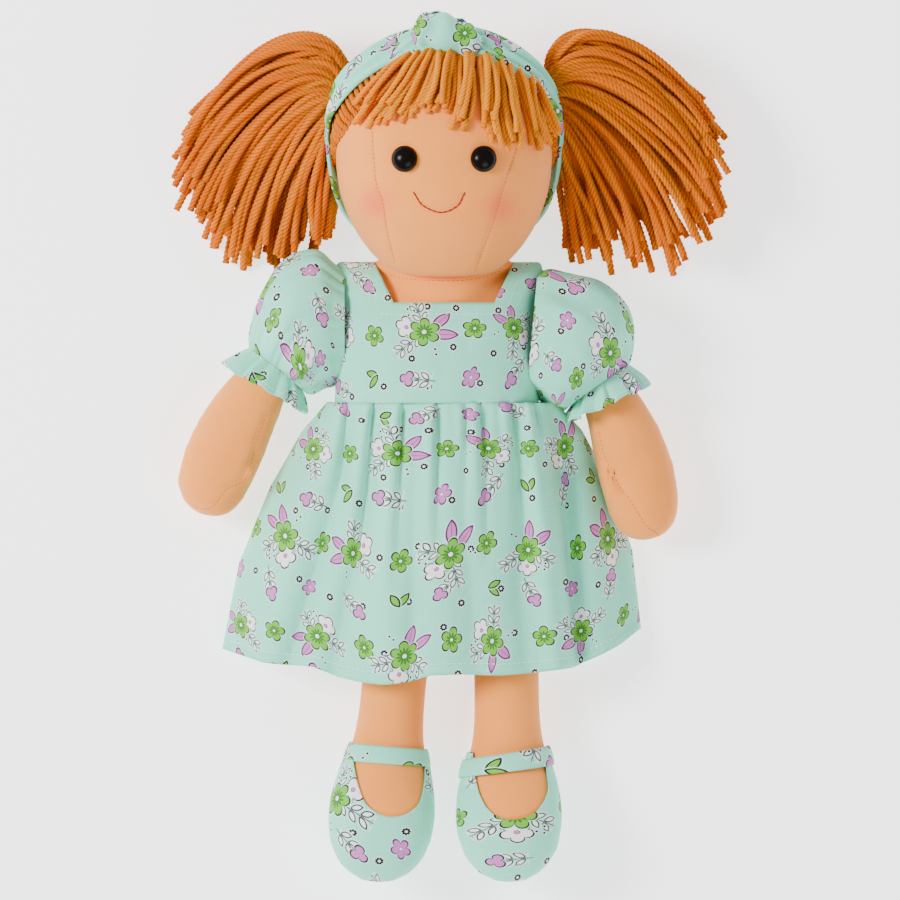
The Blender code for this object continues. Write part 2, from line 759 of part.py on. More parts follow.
def arm_frame(side):
    """An empty on the shoulder, turned as the arm lies."""
    name = "shoulder_axis_" + side
    found = bpy.data.objects.get(name)
    if found is None:
        found = bpy.data.objects.new(name, None)
        PARTS.objects.link(found)
        found.location = arm_pivot(side)
        found.rotation_euler = (0, 0, SIDES[side] * ARM_REST_TURN[side])
    return found


def arm_form(name, side, finish=None, grow=0.0):
    """A mitten-shaped arm that hangs from its flat end at the shoulder."""
    sign = SIDES[side]
    drop = 2 * arm_drop(side)
    rings = []
    for out, up, turn, width, depth, down in ARM_SHARES:
        angle = math.radians(turn)
        across = Vector((sign * math.cos(angle), math.sin(angle), 0))
        middle = Vector((sign * out * ARM_LENGTH, up * ARM_LENGTH, -down * drop))
        rings.append((middle, across, Z_AXIS, width * ARM_WIDTH / 2, depth * ARM_DEPTH / 2))
    tip_out, tip_up, tip_down = ARM_TIP_SHARES
    first = Vector((-sign * (arm_root(side) - CLEARANCE), 0, 0))
    last = Vector((sign * tip_out * ARM_LENGTH, tip_up * ARM_LENGTH, -tip_down * drop))
    arm = stuffed(name, first, rings, last, LIMB_SIDES, finish, grow)
    arm.parent = arm_frame(side)
    return arm


def arm_root(side):
    """How far the trunk lies inwards of the shoulder's axis."""
    start = arm_pivot(side) + X_AXIS * (SIDES[side] * OVERRUN)
    spot, _, _, _ = surface(bpy.data.objects["trunk"]).ray_cast(start, -SIDES[side] * X_AXIS)
    return abs(spot.x - arm_pivot(side).x)


def make_arms():
    """Both arms, each with the tuck of its thumb on the inner side."""
    out, up, turn, high, thick = THUMB_SHARES
    for side, sign in SIDES.items():
        arm = arm_form("arm_" + side, side, SKIN)
        middle = Vector((sign * out * ARM_LENGTH, up * ARM_LENGTH, 0))
        middle.z = high * ARM_DEPTH / 2 - arm_drop(side)
        angle = math.radians(turn)
        along = Vector((sign * math.cos(angle), math.sin(angle), 0))
        half = thick * THUMB_WIDTH / 2
        rings = []
        for share in THUMB_RING_SHARES:
            spot = middle + along * (share * THUMB_LENGTH / 2)
            size = math.sqrt(1.0 - share * share)
            across = Vector((along.y, -along.x, 0))
            rings.append((spot, across, Z_AXIS, size * THUMB_WIDTH / 2, size * half))
        ends = (middle - along * (THUMB_LENGTH / 2), middle + along * (THUMB_LENGTH / 2))
        thumb = stuffed("thumb_" + side, ends[0], rings, ends[1], LIMB_SIDES)
        thumb.parent = arm_frame(side)
        boolean(arm, thumb, "UNION")


def cloth_sections(shares, side, ripple):
    """Rings of corners for a sleeve or cuff, rippled in and out where it is gathered."""
    sign = SIDES[side]
    drop = 2 * arm_drop(side)
    rings = edge_rings(shares, SLEEVE_RADIUS, SLEEVE_DEPTH, Vector((0, 0, 0)), sign, drop)
    sections = []
    for ring in rings:
        points = ring_points(ring, SLEEVE_SIDES, 0.0)
        for number, point in enumerate(points):
            away = (point - ring[0]).normalized()
            points[number] = point + away * (ripple if number % 2 else -ripple)
        sections.append(points)
    return sections


def gather_frame(side):
    """Where the elastic lies: its middle and the way the arm runs through it."""
    out_a, up_a, out_b, up_b, _, down = SLEEVE_SHARES[-1]
    sign = SIDES[side]
    across = Vector((sign * (out_a - out_b), up_a - up_b, 0)).normalized()
    middle = Vector((sign * (out_a + out_b) / 2, (up_a + up_b) / 2, 0)) * SLEEVE_RADIUS
    middle.z = -down * 2 * arm_drop(side)
    return Matrix.Translation(middle) @ Matrix.Rotation(math.atan2(across.y, across.x), 4, "Z")


def make_sleeves():
    """The puffed sleeves, drawn in over an elastic, with a frilled cuff below it."""
    chest = torso_form("sleeve_chest_room", None, CLOTH + 2 * CLEARANCE)
    skirt_room = tube("skirt_room", skirt_room_sections(), grow=CLOTH)
    over_elastic = 3 * CLEARANCE + ELASTIC_THICKNESS
    for side in SIDES:
        sleeve = tube("sleeve_" + side, cloth_sections(SLEEVE_SHARES, side, CLEARANCE), MINT, CLOTH)
        cuff = tube("cuff_frill_" + side, cloth_sections(CUFF_SHARES, side, CLOTH), MINT, CLOTH)
        room = arm_form("sleeve_room_" + side, side, None, over_elastic)
        for item in (sleeve, cuff):
            item.parent = arm_frame(side)
            boolean(item, room)
            boolean(item, skirt_room)
        boolean(sleeve, chest)
        elastic = arm_form("cuff_elastic_" + side, side, ELASTIC, 2 * CLEARANCE + ELASTIC_THICKNESS)
        boolean(elastic, arm_form("elastic_room_" + side, side, None, 2 * CLEARANCE))
        half = (SLEEVE_RADIUS, ELASTIC_WIDTH / 2, SLEEVE_RADIUS)
        slice_box = block("elastic_slice_" + side, [-size for size in half], half)
        slice_box.matrix_local = gather_frame(side)
        slice_box.parent = arm_frame(side)
        boolean(elastic, slice_box, "INTERSECT")


def make_bodice():
    """The top of the dress: cloth over the trunk, open at the neck, the arms and the waist."""
    bodice = torso_form("bodice", MINT, CLEARANCE + CLOTH)
    boolean(bodice, torso_form("bodice_room", None, CLEARANCE))
    wide = TORSO_WIDTH
    boolean(bodice, block("waist_cut", (-wide, SEAT_HEIGHT - OVERRUN, -wide), (wide, WAIST_HEIGHT, wide)))
    top = SHOULDER_HEIGHT + OVERRUN
    half_top = NECKLINE_TOP_WIDTH / 2
    half_low = NECKLINE_LOW_WIDTH / 2
    front = (
        (-half_low, NECKLINE_HEIGHT),
        (half_low, NECKLINE_HEIGHT),
        (half_top, SHOULDER_HEIGHT),
        (half_top, top),
        (-half_top, top),
        (-half_top, SHOULDER_HEIGHT),
    )
    boolean(bodice, prism("neckline", front, 2, TORSO_MIDDLE, wide))
    nape = (-half_top, NAPE_HEIGHT, -wide), (half_top, top, TORSO_MIDDLE + CLOTH)
    boolean(bodice, block("nape_cut", *nape))
    boolean(bodice, bpy.data.objects["cap_neck_room"])
    for side, sign in SIDES.items():
        pivot = arm_pivot(side)
        hole = []
        for number in range(BALL_SIDES // 2):
            turn = 4.0 * math.pi * number / BALL_SIDES
            away = Vector((math.cos(turn), math.sin(turn))) * (ARMHOLE_DIAMETER / 2)
            hole.append((pivot.y + away.x, pivot.z + away.y))
        boolean(bodice, prism("armhole_" + side, hole, 0, min(0, pivot.x), max(0, pivot.x)))
    boolean(bodice, block("back_flat", (-wide, -wide, -OVERRUN), (wide, wide, 0)))
    return bodice


def leg_frame(side):
    """An empty at the top of a leg, turned as the leg lies."""
    name = "hip_axis_" + side
    found = bpy.data.objects.get(name)
    if found is None:
        found = bpy.data.objects.new(name, None)
        PARTS.objects.link(found)
        found.location = (SIDES[side] * LEG_OFFSETS[side], SEAT_HEIGHT + HIP_LAP[side], 0)
        found.rotation_euler = (0, 0, SIDES[side] * LEG_SPLAY[side])
    return found


def leg_form(name, side, finish=None, grow=0.0):
    """A leg with its foot, hung from its flat top, the foot tipped up out of the ground plan."""
    rings = []
    for table, width_unit, depth_unit in (
        (LEG_SHARES, LEG_WIDTH, LEG_WIDTH),
        (FOOT_SHARES, FOOT_WIDTH, FOOT_DEPTH),
    ):
        for along, width, depth, lift, tilt in table:
            up = Vector((0, math.sin(math.radians(tilt)), math.cos(math.radians(tilt))))
            middle = Vector((0, -along * LEG_LENGTH - CLOTH, lift * LEG_WIDTH))
            rings.append((middle, X_AXIS, up, width * width_unit / 2, depth * depth_unit / 2))
    first = Vector((0, -CLOTH, LEG_SHARES[0][3] * LEG_WIDTH))
    last = Vector((0, -TOE_SHARES[0] * LEG_LENGTH, TOE_SHARES[1] * LEG_WIDTH))
    leg = stuffed(name, first, rings, last, LIMB_SIDES, finish, grow)
    leg.parent = leg_frame(side)
    return leg


def make_legs():
    """Both legs, each with its foot, its cloth shoe and the strap over the instep."""
    instep = INSTEP_SHARE * LEG_WIDTH
    high = 2 * FOOT_DEPTH
    wide = FOOT_WIDTH
    half = VAMP_WIDTH / 2
    low = SHOE_TOP + VAMP_LENGTH - half
    seat_room = torso_form("seat_room", None, HIP_GAP)
    for side in SIDES:
        leg = leg_form("leg_" + side, side, SKIN)
        boolean(leg, seat_room)
        room = leg_form("shoe_room_" + side, side, None, 2 * CLEARANCE)
        shoe = leg_form("shoe_" + side, side, MINT, 2 * CLEARANCE + CLOTH)
        strap = leg_form("shoe_strap_" + side, side, MINT, 2 * CLEARANCE + CLOTH)
        vamp = [(half, 0), (-half, 0)]
        for number in range(BALL_SIDES // 2 + 1):
            turn = math.pi + 2.0 * math.pi * number / BALL_SIDES
            vamp.append((half * math.cos(turn), half * math.sin(turn) - low))
        inner = half - CLEARANCE
        lead = STRAP_SLANT * SIDES[side]
        band = (
            (-inner, -SHOE_TOP + CLOTH + lead),
            (-inner, -SHOE_TOP + CLOTH + lead - STRAP_WIDTH),
            (inner, -SHOE_TOP + CLOTH - lead - STRAP_WIDTH),
            (inner, -SHOE_TOP + CLOTH - lead),
        )
        cuts = {
            "topline": block("topline_" + side, (-wide, -SHOE_TOP, -wide), (wide, OVERRUN, high)),
            "vamp": prism("vamp_" + side, vamp, 2, instep, high),
            "band": prism("strap_band_" + side, band, 2, instep, high),
        }
        for cut in cuts.values():
            cut.parent = leg_frame(side)
        boolean(shoe, room)
        boolean(shoe, cuts["topline"])
        boolean(shoe, cuts["vamp"])
        boolean(strap, room)
        boolean(strap, cuts["band"], "INTERSECT")


def skirt_section(along, width, front, power, behind):
    """The corners of the skirt at one height: flat behind, domed in front, folded up and down."""
    sides = 2 * len(FOLD_SHARES)
    points = []
    edge = behind * TORSO_MIDDLE
    for number in range(sides):
        turn = 2.0 * math.pi * number / sides
        share = math.cos(turn)
        dome = (1.0 - abs(share) ** power) ** (1.0 / power)
        height = edge * (1.0 - abs(math.sin(turn)))
        if number < sides // 2:
            fold = FOLD_DEPTH * math.sqrt(along) * FOLD_SHARES[number] * dome
            height = edge + dome * (front * SKIRT_FRONT - edge) + fold
        down = along * (SKIRT_LENGTH - HEM_RISE * share * share - HEM_TILT * share)
        x = share * width * SKIRT_WIDTH / 2 - along * SKIRT_SHIFT
        points.append(Vector((x, WAIST_HEIGHT - CLEARANCE - down, height + CLEARANCE)))
    return points


def skirt_sections():
    """Every ring of the skirt, from the waist to the hem."""
    return [skirt_section(*row) for row in SKIRT_SHARES]


def skirt_room_sections():
    """The skirt's rings with one more a little way past each end, so that a solid of them is full there."""
    rings = skirt_sections()
    above = [point + Y_AXIS * CLOTH for point in rings[0]]
    below = [point - Y_AXIS * CLOTH for point in rings[-1]]
    return [above] + rings + [below]


def make_skirt():
    """The gathered skirt: a wide tube that lies flat behind and is folded over the legs in front."""
    skirt = tube("skirt", skirt_sections(), MINT, CLOTH)
    return boolean(skirt, bpy.data.objects["bodice_room"])


def hang_pieces():
    """Hang the head, the bunches, the legs and the skirt on the axes that they move about."""
    neck = joint_axis("neck_axis", neck_centre())
    on_head = ["head", "hair_cap", "fringe", "headband", "headband_knot"]
    for stem in ("eye", "eye_washer", "hair_tie"):
        on_head += [stem + "_" + side for side in SIDES]
    hang(neck, on_head)
    fold = joint_axis("fold_axis", Vector((0, SEAT_HEIGHT - FOLD_DROP, TORSO_MIDDLE)))
    hang(fold, ["skirt"])
    for side, sign in SIDES.items():
        tie = joint_axis("tie_axis_" + side, TIE_PLACES[side])
        hang(neck, [tie.name])
        hang(tie, ["pigtail_" + side])
        spread = joint_axis("leg_axis_" + side, fold.location + X_AXIS * (sign * HIP_OUT[side]))
        hang(fold, [spread.name])
        hang(spread, ["hip_axis_" + side])


def build():
    """Make every piece."""
    torso_form("trunk")
    make_torso()
    head = make_head()
    make_eyes(head)
    make_hair_cap()
    make_fringe()
    make_headband()
    make_knot()
    make_pigtails()
    make_arms()
    make_sleeves()
    make_bodice()
    make_legs()
    make_skirt()
    hang_pieces()


build()
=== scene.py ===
# %% [markdown]
# # A rag doll in a printed cotton dress
#
# This script dresses a plain solid model of a stuffed doll. The solids already have the right sizes and
# joints, so every cell below reads its places from them: it looks up a solid, makes the cloth, yarn or
# thread that the real doll has there, and ties the new piece to the same moving body.

import json
import math
import random
from contextlib import contextmanager

import bmesh
import bpy
import numpy as np
from mathutils import Matrix, Vector
from mathutils.bvhtree import BVHTree
from mathutils.noise import noise

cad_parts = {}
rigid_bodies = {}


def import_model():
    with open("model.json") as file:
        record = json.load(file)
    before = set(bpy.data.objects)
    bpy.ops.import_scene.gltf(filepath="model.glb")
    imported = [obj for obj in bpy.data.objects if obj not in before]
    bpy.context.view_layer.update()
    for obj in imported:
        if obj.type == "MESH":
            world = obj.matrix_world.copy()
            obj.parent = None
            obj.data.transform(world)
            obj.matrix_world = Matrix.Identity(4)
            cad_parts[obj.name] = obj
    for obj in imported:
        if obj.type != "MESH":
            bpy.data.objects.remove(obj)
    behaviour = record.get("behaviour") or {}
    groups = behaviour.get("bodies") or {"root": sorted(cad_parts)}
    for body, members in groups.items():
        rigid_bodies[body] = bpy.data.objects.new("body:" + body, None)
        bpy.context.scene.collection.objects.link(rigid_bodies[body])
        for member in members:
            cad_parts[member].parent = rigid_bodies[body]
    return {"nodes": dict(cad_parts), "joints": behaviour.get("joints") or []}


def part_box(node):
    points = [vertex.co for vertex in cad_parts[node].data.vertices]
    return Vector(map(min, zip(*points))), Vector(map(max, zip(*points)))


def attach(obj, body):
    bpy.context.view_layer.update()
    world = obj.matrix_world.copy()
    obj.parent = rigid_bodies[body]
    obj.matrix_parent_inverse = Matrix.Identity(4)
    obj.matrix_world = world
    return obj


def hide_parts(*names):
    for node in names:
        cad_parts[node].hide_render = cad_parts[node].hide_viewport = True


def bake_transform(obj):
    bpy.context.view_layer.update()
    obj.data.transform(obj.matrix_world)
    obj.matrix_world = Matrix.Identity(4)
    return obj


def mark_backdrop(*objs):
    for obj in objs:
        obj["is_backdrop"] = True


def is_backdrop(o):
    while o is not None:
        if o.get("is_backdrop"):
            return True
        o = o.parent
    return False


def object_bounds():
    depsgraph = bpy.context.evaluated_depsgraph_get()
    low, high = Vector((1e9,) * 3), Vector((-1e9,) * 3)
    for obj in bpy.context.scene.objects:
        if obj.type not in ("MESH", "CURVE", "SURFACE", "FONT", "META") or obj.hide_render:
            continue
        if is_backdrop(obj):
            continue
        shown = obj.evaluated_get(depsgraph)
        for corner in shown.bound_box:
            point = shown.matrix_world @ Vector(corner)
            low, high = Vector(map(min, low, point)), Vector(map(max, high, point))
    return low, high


for thing in list(bpy.data.objects):
    bpy.data.objects.remove(thing)
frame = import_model()
cad_low, cad_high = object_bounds()
SIDES = {"left": 1, "right": -1}
JOINTS = {joint["name"]: Vector(joint["pos_m"]) for joint in frame["joints"]}
UP = Vector((0, 0, 1))


# %% [markdown]
# ## Helpers that read the solids
#
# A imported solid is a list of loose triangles, so a copy has its corners merged before anything is built
# from it. A search tree over that copy tells where a ray meets the solid, which is how thread, yarn and
# straps find the surface they lie on. Tables of places are typed in millimetres.

# %% Copies and search trees of solids
def mm(rows):
    """Millimetres, in a table of any depth, as metres."""
    return [mm(row) for row in rows] if isinstance(rows, tuple) else rows / 1000


def linked(name, data):
    """A new object in the scene."""
    item = bpy.data.objects.new(name, data)
    bpy.context.scene.collection.objects.link(item)
    return item


@contextmanager
def opened(item):
    """An item's mesh laid open for work on its corners and faces, and closed again afterwards."""
    shape = bmesh.new()
    shape.from_mesh(item.data)
    yield shape
    shape.to_mesh(item.data)
    shape.free()


def merged(name, node_name):
    """A closed copy of one solid, as a new item."""
    solid = frame["nodes"][node_name]
    item = linked(name, bpy.data.meshes.new(name))
    with opened(item) as shape:
        shape.from_mesh(solid.data)
        shape.transform(solid.matrix_world)
        bmesh.ops.remove_doubles(shape, verts=shape.verts, dist=0.00001)
        bmesh.ops.recalc_face_normals(shape, faces=shape.faces)
    return item


def tree_of(item):
    """A search tree over an item."""
    shape = bmesh.new()
    shape.from_mesh(item.data)
    tree = BVHTree.FromBMesh(shape)
    shape.free()
    return tree


def solid_tree(node_name):
    copy = merged("copy", node_name)
    tree = tree_of(copy)
    bpy.data.objects.remove(copy)
    return tree


def straight_down(tree, x, y, lift=0.0):
    """The spot that a ray from above meets at x, y, raised along the surface's own direction."""
    spot, facing, _, _ = tree.ray_cast(Vector((x, y, 0.3)), -UP)
    if spot is None:
        spot, facing, _, _ = tree.find_nearest(Vector((x, y, 0.04)))
    return spot + facing * lift


# %% [markdown]
# ## Making and finishing a piece
#
# Every piece is one object at the origin with its place in its mesh. `finished` turns an object with
# live modifiers into a plain mesh. `settle` gives the piece its material and the body that it moves with.

# %% Piece helpers
def piece_from(name, points, faces=(), edges=()):
    mesh = bpy.data.meshes.new(name)
    mesh.from_pydata([tuple(point) for point in points], edges, faces)
    return linked(name, mesh)


def finished(item):
    """Apply everything on the item and return it as a plain mesh."""
    bpy.context.view_layer.update()
    graph = bpy.context.evaluated_depsgraph_get()
    mesh = bpy.data.meshes.new_from_object(item.evaluated_get(graph), depsgraph=graph)
    mesh.name = item.name
    old = item.data
    item.modifiers.clear()
    item.data = mesh
    bpy.data.meshes.remove(old)
    return item


def changed(item, kind, **settings):
    """Add one modifier with its settings, and apply it."""
    change = item.modifiers.new(kind, kind)
    for word, value in settings.items():
        setattr(change, word, value)
    return finished(item)


def arrays(item):
    """Places and directions of all corners, as two tables of numbers."""
    corners = item.data.vertices
    return np.array([v.co for v in corners]), np.array([v.normal for v in corners])


def moved(item, points):
    """Put all corners at new places."""
    item.data.vertices.foreach_set("co", points.ravel())
    item.data.update()


def settle(item, finish, body, nodes=()):
    """Material, smooth shading, moving body, finish slot and the solids that the piece stands for."""
    faces = item.data.polygons
    item.data.materials.clear()
    item.data.materials.append(finish)
    faces.foreach_set("material_index", [0] * len(faces))
    faces.foreach_set("use_smooth", [True] * len(faces))
    if body:
        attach(item, body)
    if nodes:
        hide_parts(*nodes)
    print(item.name, sum(len(face.vertices) - 2 for face in faces), "triangles")
    return item


def smooth_row(rows, share, before, after):
    """The row at a share of the way through a table, on a smooth curve."""
    place = share * (len(rows) - 1)
    start = min(int(place), len(rows) - 2)
    t = place - start
    a, b, c, d = np.array([before, *rows, after], dtype=float)[start:start + 4]
    return 0.5 * (2 * b + (c - a) * t + (2 * a - 5 * b + 4 * c - d) * t ** 2 + (3 * b - a - 3 * c + d) * t ** 3)


def between(rows, share):
    """The same, on a curve that slows down at the ends of the table."""
    return smooth_row(rows, share, rows[0], rows[-1])


def curve_through(points, count):
    """Evenly shared spots on a smooth curve through a few chosen points."""
    fixed = np.array(points)
    before, after = 2 * fixed[0] - fixed[1], 2 * fixed[-1] - fixed[-2]
    return [Vector(smooth_row(fixed, number / (count - 1), before, after)) for number in range(count)]


def row_at(table, place):
    """The columns of a table, read at a place in its first column."""
    places, *columns = zip(*table)
    return [float(np.interp(place, places, column)) for column in columns]


def running(points):
    """The length along a line up to each of its points."""
    runs = [0.0]
    for a, b in zip(points, points[1:]):
        runs.append(runs[-1] + (b - a).length)
    return runs


def girth_of(ring):
    return running(ring + ring[:1])[-1]


def hill(x, width=1.0):
    """A soft hill of height 1 at 0."""
    return math.exp(-(x / width) ** 2)


# %% [markdown]
# ## Cloth with a true grain
#
# A printed flower must not stretch where the dress flares. So a cloth piece is made from rings of
# points, and its UV map is measured in metres along the threads: round the ring from the middle of the
# front, and down from the seam. The print then has the same scale on every piece.

# %% Cloth from rings
DRESS_WALL = 0.0007
FRILL_WALL = 0.0006
GROUND_GAP = 0.0012


def woven(rows, columns, closed=True):
    """The four-sided faces between rows of points."""
    faces = []
    for first in range(0, (rows - 1) * columns, columns):
        for column in range(columns if closed else columns - 1):
            here, after = first + column, first + (column + 1) % columns
            faces.append((here, after, after + columns, here + columns))
    return faces


def cloth(name, rings, wall, shift=(0.0, 0.0), smooth_rings=None, opening=None):
    """Join closed rings, each starting at the middle of the back, into cloth with a wall."""
    measured = smooth_rings or rings
    count = len(rings[0])
    item = piece_from(name, sum(rings, []), woven(len(rings), count))
    across = []
    for ring in measured:
        run = running(ring + ring[:1])
        across.append([value - run[count // 2] for value in run])
    along = [0.0]
    for upper, lower in zip(measured, measured[1:]):
        steps = [(b - a).length for a, b in zip(upper[::7], lower[::7])]
        along.append(along[-1] + sum(steps) / len(steps))
    layer = item.data.uv_layers.new(name="grain")
    for face in item.data.polygons:
        row, column = divmod(face.index, count)
        for corner, loop in enumerate(face.loop_indices):
            r, c = row + (corner > 1), column + (corner in (1, 2))
            layer.data[loop].uv = (across[r][c] + shift[0], -along[r] + shift[1])
    with opened(item) as shape:
        if opening:
            cut = [face for face in shape.faces if opening(*divmod(face.index, count))]
            bmesh.ops.delete(shape, geom=cut, context="FACES")
        bmesh.ops.recalc_face_normals(shape, faces=shape.faces)
        middle = sum(rings[len(rings) // 2], Vector()) / count
        face = max(shape.faces, key=lambda f: (f.calc_center_median() - middle).length)
        if face.normal.dot(face.calc_center_median() - middle) < 0:
            bmesh.ops.reverse_faces(shape, faces=shape.faces)
    return changed(item, "SOLIDIFY", thickness=wall, offset=-1.0)


# %% [markdown]
# ## Small words for building materials
#
# A material is a network of nodes. These helpers let a pattern be written as a sum: a `Sum` is a number
# inside the network, and adding or multiplying it makes the node that does so. The drawing rules of the
# print then read like the rules that they are.

# %% Node helpers
def colour(shade, more=0, times=1.0):
    """A shade as a screen shows it, 0 to 255, turned into the linear value that a shader wants."""
    parts = [(value * times + more) / 255 for value in shade]
    return [p / 12.92 if p <= 0.04045 else ((p + 0.055) / 1.055) ** 2.4 for p in parts] + [1.0]


def feed(net, socket, value):
    """A number, a shade, a node or another node's output into a socket."""
    if isinstance(value, Sum):
        value = value.socket
    elif isinstance(value, bpy.types.Node):
        value = value.outputs[0]
    if isinstance(value, bpy.types.NodeSocket):
        net.links.new(value, socket)
    else:
        socket.default_value = colour(value) if isinstance(value, tuple) else value


def fill(net, made, **given):
    """Set up a node. Small words are its settings, capitalised ones its inputs, with _ for a space."""
    for word, value in given.items():
        if word.islower():
            setattr(made, word, value)
        else:
            name = word.replace("_", " ")
            feed(net, next(s for s in made.inputs if s.enabled and s.name == name), value)
    return made


def node(net, kind, **given):
    return fill(net, net.nodes.new(kind), **given)


class Sum:
    """A number inside a network. Sums that are written with it become nodes."""

    def __init__(self, net, socket):
        self.net, self.socket = net, socket

    def then(self, operation, *others):
        """One math node with this number first."""
        made = node(self.net, "ShaderNodeMath", operation=operation)
        for socket, value in zip(made.inputs, (self, *others)):
            feed(self.net, socket, value)
        return Sum(self.net, made.outputs[0])

    def __add__(self, other):
        return self.then("ADD", other)

    def __sub__(self, other):
        return self.then("SUBTRACT", other)

    def __mul__(self, other):
        return self.then("MULTIPLY", other)

    def __truediv__(self, other):
        return self.then("DIVIDE", other)

    def __pow__(self, other):
        return self.then("POWER", other)

    def __abs__(self):
        return self.then("ABSOLUTE")

    def limited(self):
        """The number held between 0 and 1."""
        return Sum(self.net, node(self.net, "ShaderNodeClamp", Value=self).outputs[0])


def new_material(name, **inputs):
    finish = bpy.data.materials.new(name)
    finish.use_nodes = True
    net = finish.node_tree
    shader = net.nodes["Principled BSDF"]
    return finish, net, fill(net, shader, **{"Specular_IOR_Level": 0.25, **inputs})


def paint(net, under, over, cover):
    """One colour over another, where cover is 1."""
    made = node(net, "ShaderNodeMix", data_type="RGBA")
    for place, value in ((0, cover), (6, under), (7, over)):
        feed(net, made.inputs[place], value)
    return made.outputs[2]


def parts_of(net, vector):
    return [Sum(net, output) for output in node(net, "ShaderNodeSeparateXYZ", Vector=vector).outputs]


def vector_of(x, y, z=0.0):
    return node(x.net, "ShaderNodeCombineXYZ", X=x, Y=y, Z=z)


def place_in(net):
    return node(net, "ShaderNodeTexCoord").outputs["Object"]


def mottle(net, place, scale, detail=2.0):
    made = node(net, "ShaderNodeTexNoise", Vector=place, Scale=scale, Detail=detail)
    return Sum(net, made.outputs["Fac"])


def relief(net, shader, height, distance, strength):
    bumps = node(net, "ShaderNodeBump", Height=height, Distance=distance, Strength=strength)
    fill(net, shader, Normal=bumps)


# %% [markdown]
# ## Skin: a fine brushed cotton knit
#
# The doll's skin is a close knit with a soft bloom. From a metre away only a faint unevenness shows, so
# the material is a warm colour, a slow mottle and the tiny ribs of the knit as relief. The head has the
# same cloth with two spots of rouge, which are rubbed on and so fade without an edge.

# %% Skin materials
SKIN_COLOUR = (255, 154, 62)
ROUGE_COLOUR = (240, 92, 50)
ROUGE_COVER = 0.72
ROUGE_LOW = 0.045
# Place across and up the head, and reach of each spot
ROUGE = (((-0.0276, 0.0585), 0.0062), ((0.0221, 0.0569), 0.0060))


def skin_cloth(name, rouge_spots=()):
    finish, net, shader = new_material(name, Roughness=0.88, Sheen_Weight=0.15, Sheen_Roughness=0.6)
    here = place_in(net)
    x, y, z = parts_of(net, here)
    base = paint(net, SKIN_COLOUR, colour(SKIN_COLOUR, -9), mottle(net, here, 90.0))
    for (across, up), reach in rouge_spots:
        far = (x - across) ** 2.0 + (y - up) ** 2.0
        glow = (far / (-reach * reach)).then("EXPONENT")
        front = ((z - ROUGE_LOW) / 0.01).limited()
        base = paint(net, base, ROUGE_COLOUR, glow * front * ROUGE_COVER)
    fill(net, shader, Base_Color=base)
    relief(net, shader, mottle(net, here, 2600.0, 1.0), 0.0001, 0.5)
    return finish


SKIN = skin_cloth("skin_cloth")
FACE = skin_cloth("skin_cloth_with_rouge", ROUGE)
print("skin materials ready")


# %% [markdown]
# ## Printed cotton
#
# The dress cloth is mint cotton with a scattered flower print, drawn here from rules. The cloth is cut
# into square cells. Each cell takes a random turn and place, so a motif drawn once lands everywhere
# without a visible grid. A motif is a set of distances in millimetres: below zero is inside, a thin band
# round zero is the inked outline, and a little beyond is the pale halo that pigment printing leaves.

# %% Drawing rules for the print
MINT = (136, 233, 203)
HALO = (206, 244, 232)
INK = (26, 30, 32)
LEAF_GREEN = (112, 190, 58)
DEEP_GREEN = (56, 124, 36)
LILAC = (204, 122, 190)
PLUM = (92, 34, 88)
BLOSSOM = (244, 246, 244)


def turned_about(x, y, angle):
    """The place seen in axes turned by an angle, which is a number or a Sum."""
    if isinstance(angle, Sum):
        cosine, sine = angle.then("COSINE"), angle.then("SINE")
    else:
        cosine, sine = math.cos(angle), math.sin(angle)
    return x * cosine + y * sine, y * cosine - x * sine


def moved_to(x, y, place, turn=0.0):
    return turned_about(x - place[0], y - place[1], math.radians(turn))


def scatter(x, y, cell, seed, slack):
    """Local x and y in a cell, turned at random, and two random numbers of that cell."""
    high = y / cell
    row = high.then("FLOOR")
    slid = x / cell + row * 0.37
    column = slid.then("FLOOR")
    dice = node(x.net, "ShaderNodeTexWhiteNoise", noise_dimensions="3D", Vector=vector_of(column, row, seed))
    red, green, blue = parts_of(x.net, dice.outputs["Color"])
    local = [(whole - base - 0.5 - (chance - 0.5) * slack) * cell
             for whole, base, chance in ((slid, column, red), (high, row, green))]
    return (*turned_about(*local, blue * (2 * math.pi)), red, Sum(x.net, dice.outputs["Value"]))


def radius_of(x, y):
    return (x * x + y * y).then("SQRT")


def flower(x, y, size, petals, waist=0.55):
    """Distance to a flower of round petals."""
    wave = abs((y.then("ARCTAN2", x) * (petals / 2)).then("COSINE"))
    return radius_of(x, y) - (wave ** 0.6 * (1 - waist) + waist) * size


def leaf(x, y, length, width):
    """Distance to an almond along x: the overlap of two discs."""
    disc = (length * length / 4 + width * width / 4) / width
    return radius_of(x, abs(y) + (disc - width / 2)) - disc


def within(x, length):
    return (x * -1.0).then("MAXIMUM", x - length)


def sprig(x, y, length, step):
    """Distance to a stem along x with a pair of leaves at every step."""
    along = (x + 10 * step).then("MODULO", step) - step / 2
    lx, ly = turned_about(along, abs(y) - step * 0.45, math.radians(38))
    return leaf(lx, ly, step * 0.95, step * 0.42).then("MAXIMUM", within(x, length))


def stem(x, y, length):
    return (abs(y) - 0.10).then("MAXIMUM", within(x, length))


# %% The printed cotton itself
POSY_CELL = 38.0
SPECK_CELL = 17.0
DRIFT = 13.0
THREAD_PITCH = 0.7


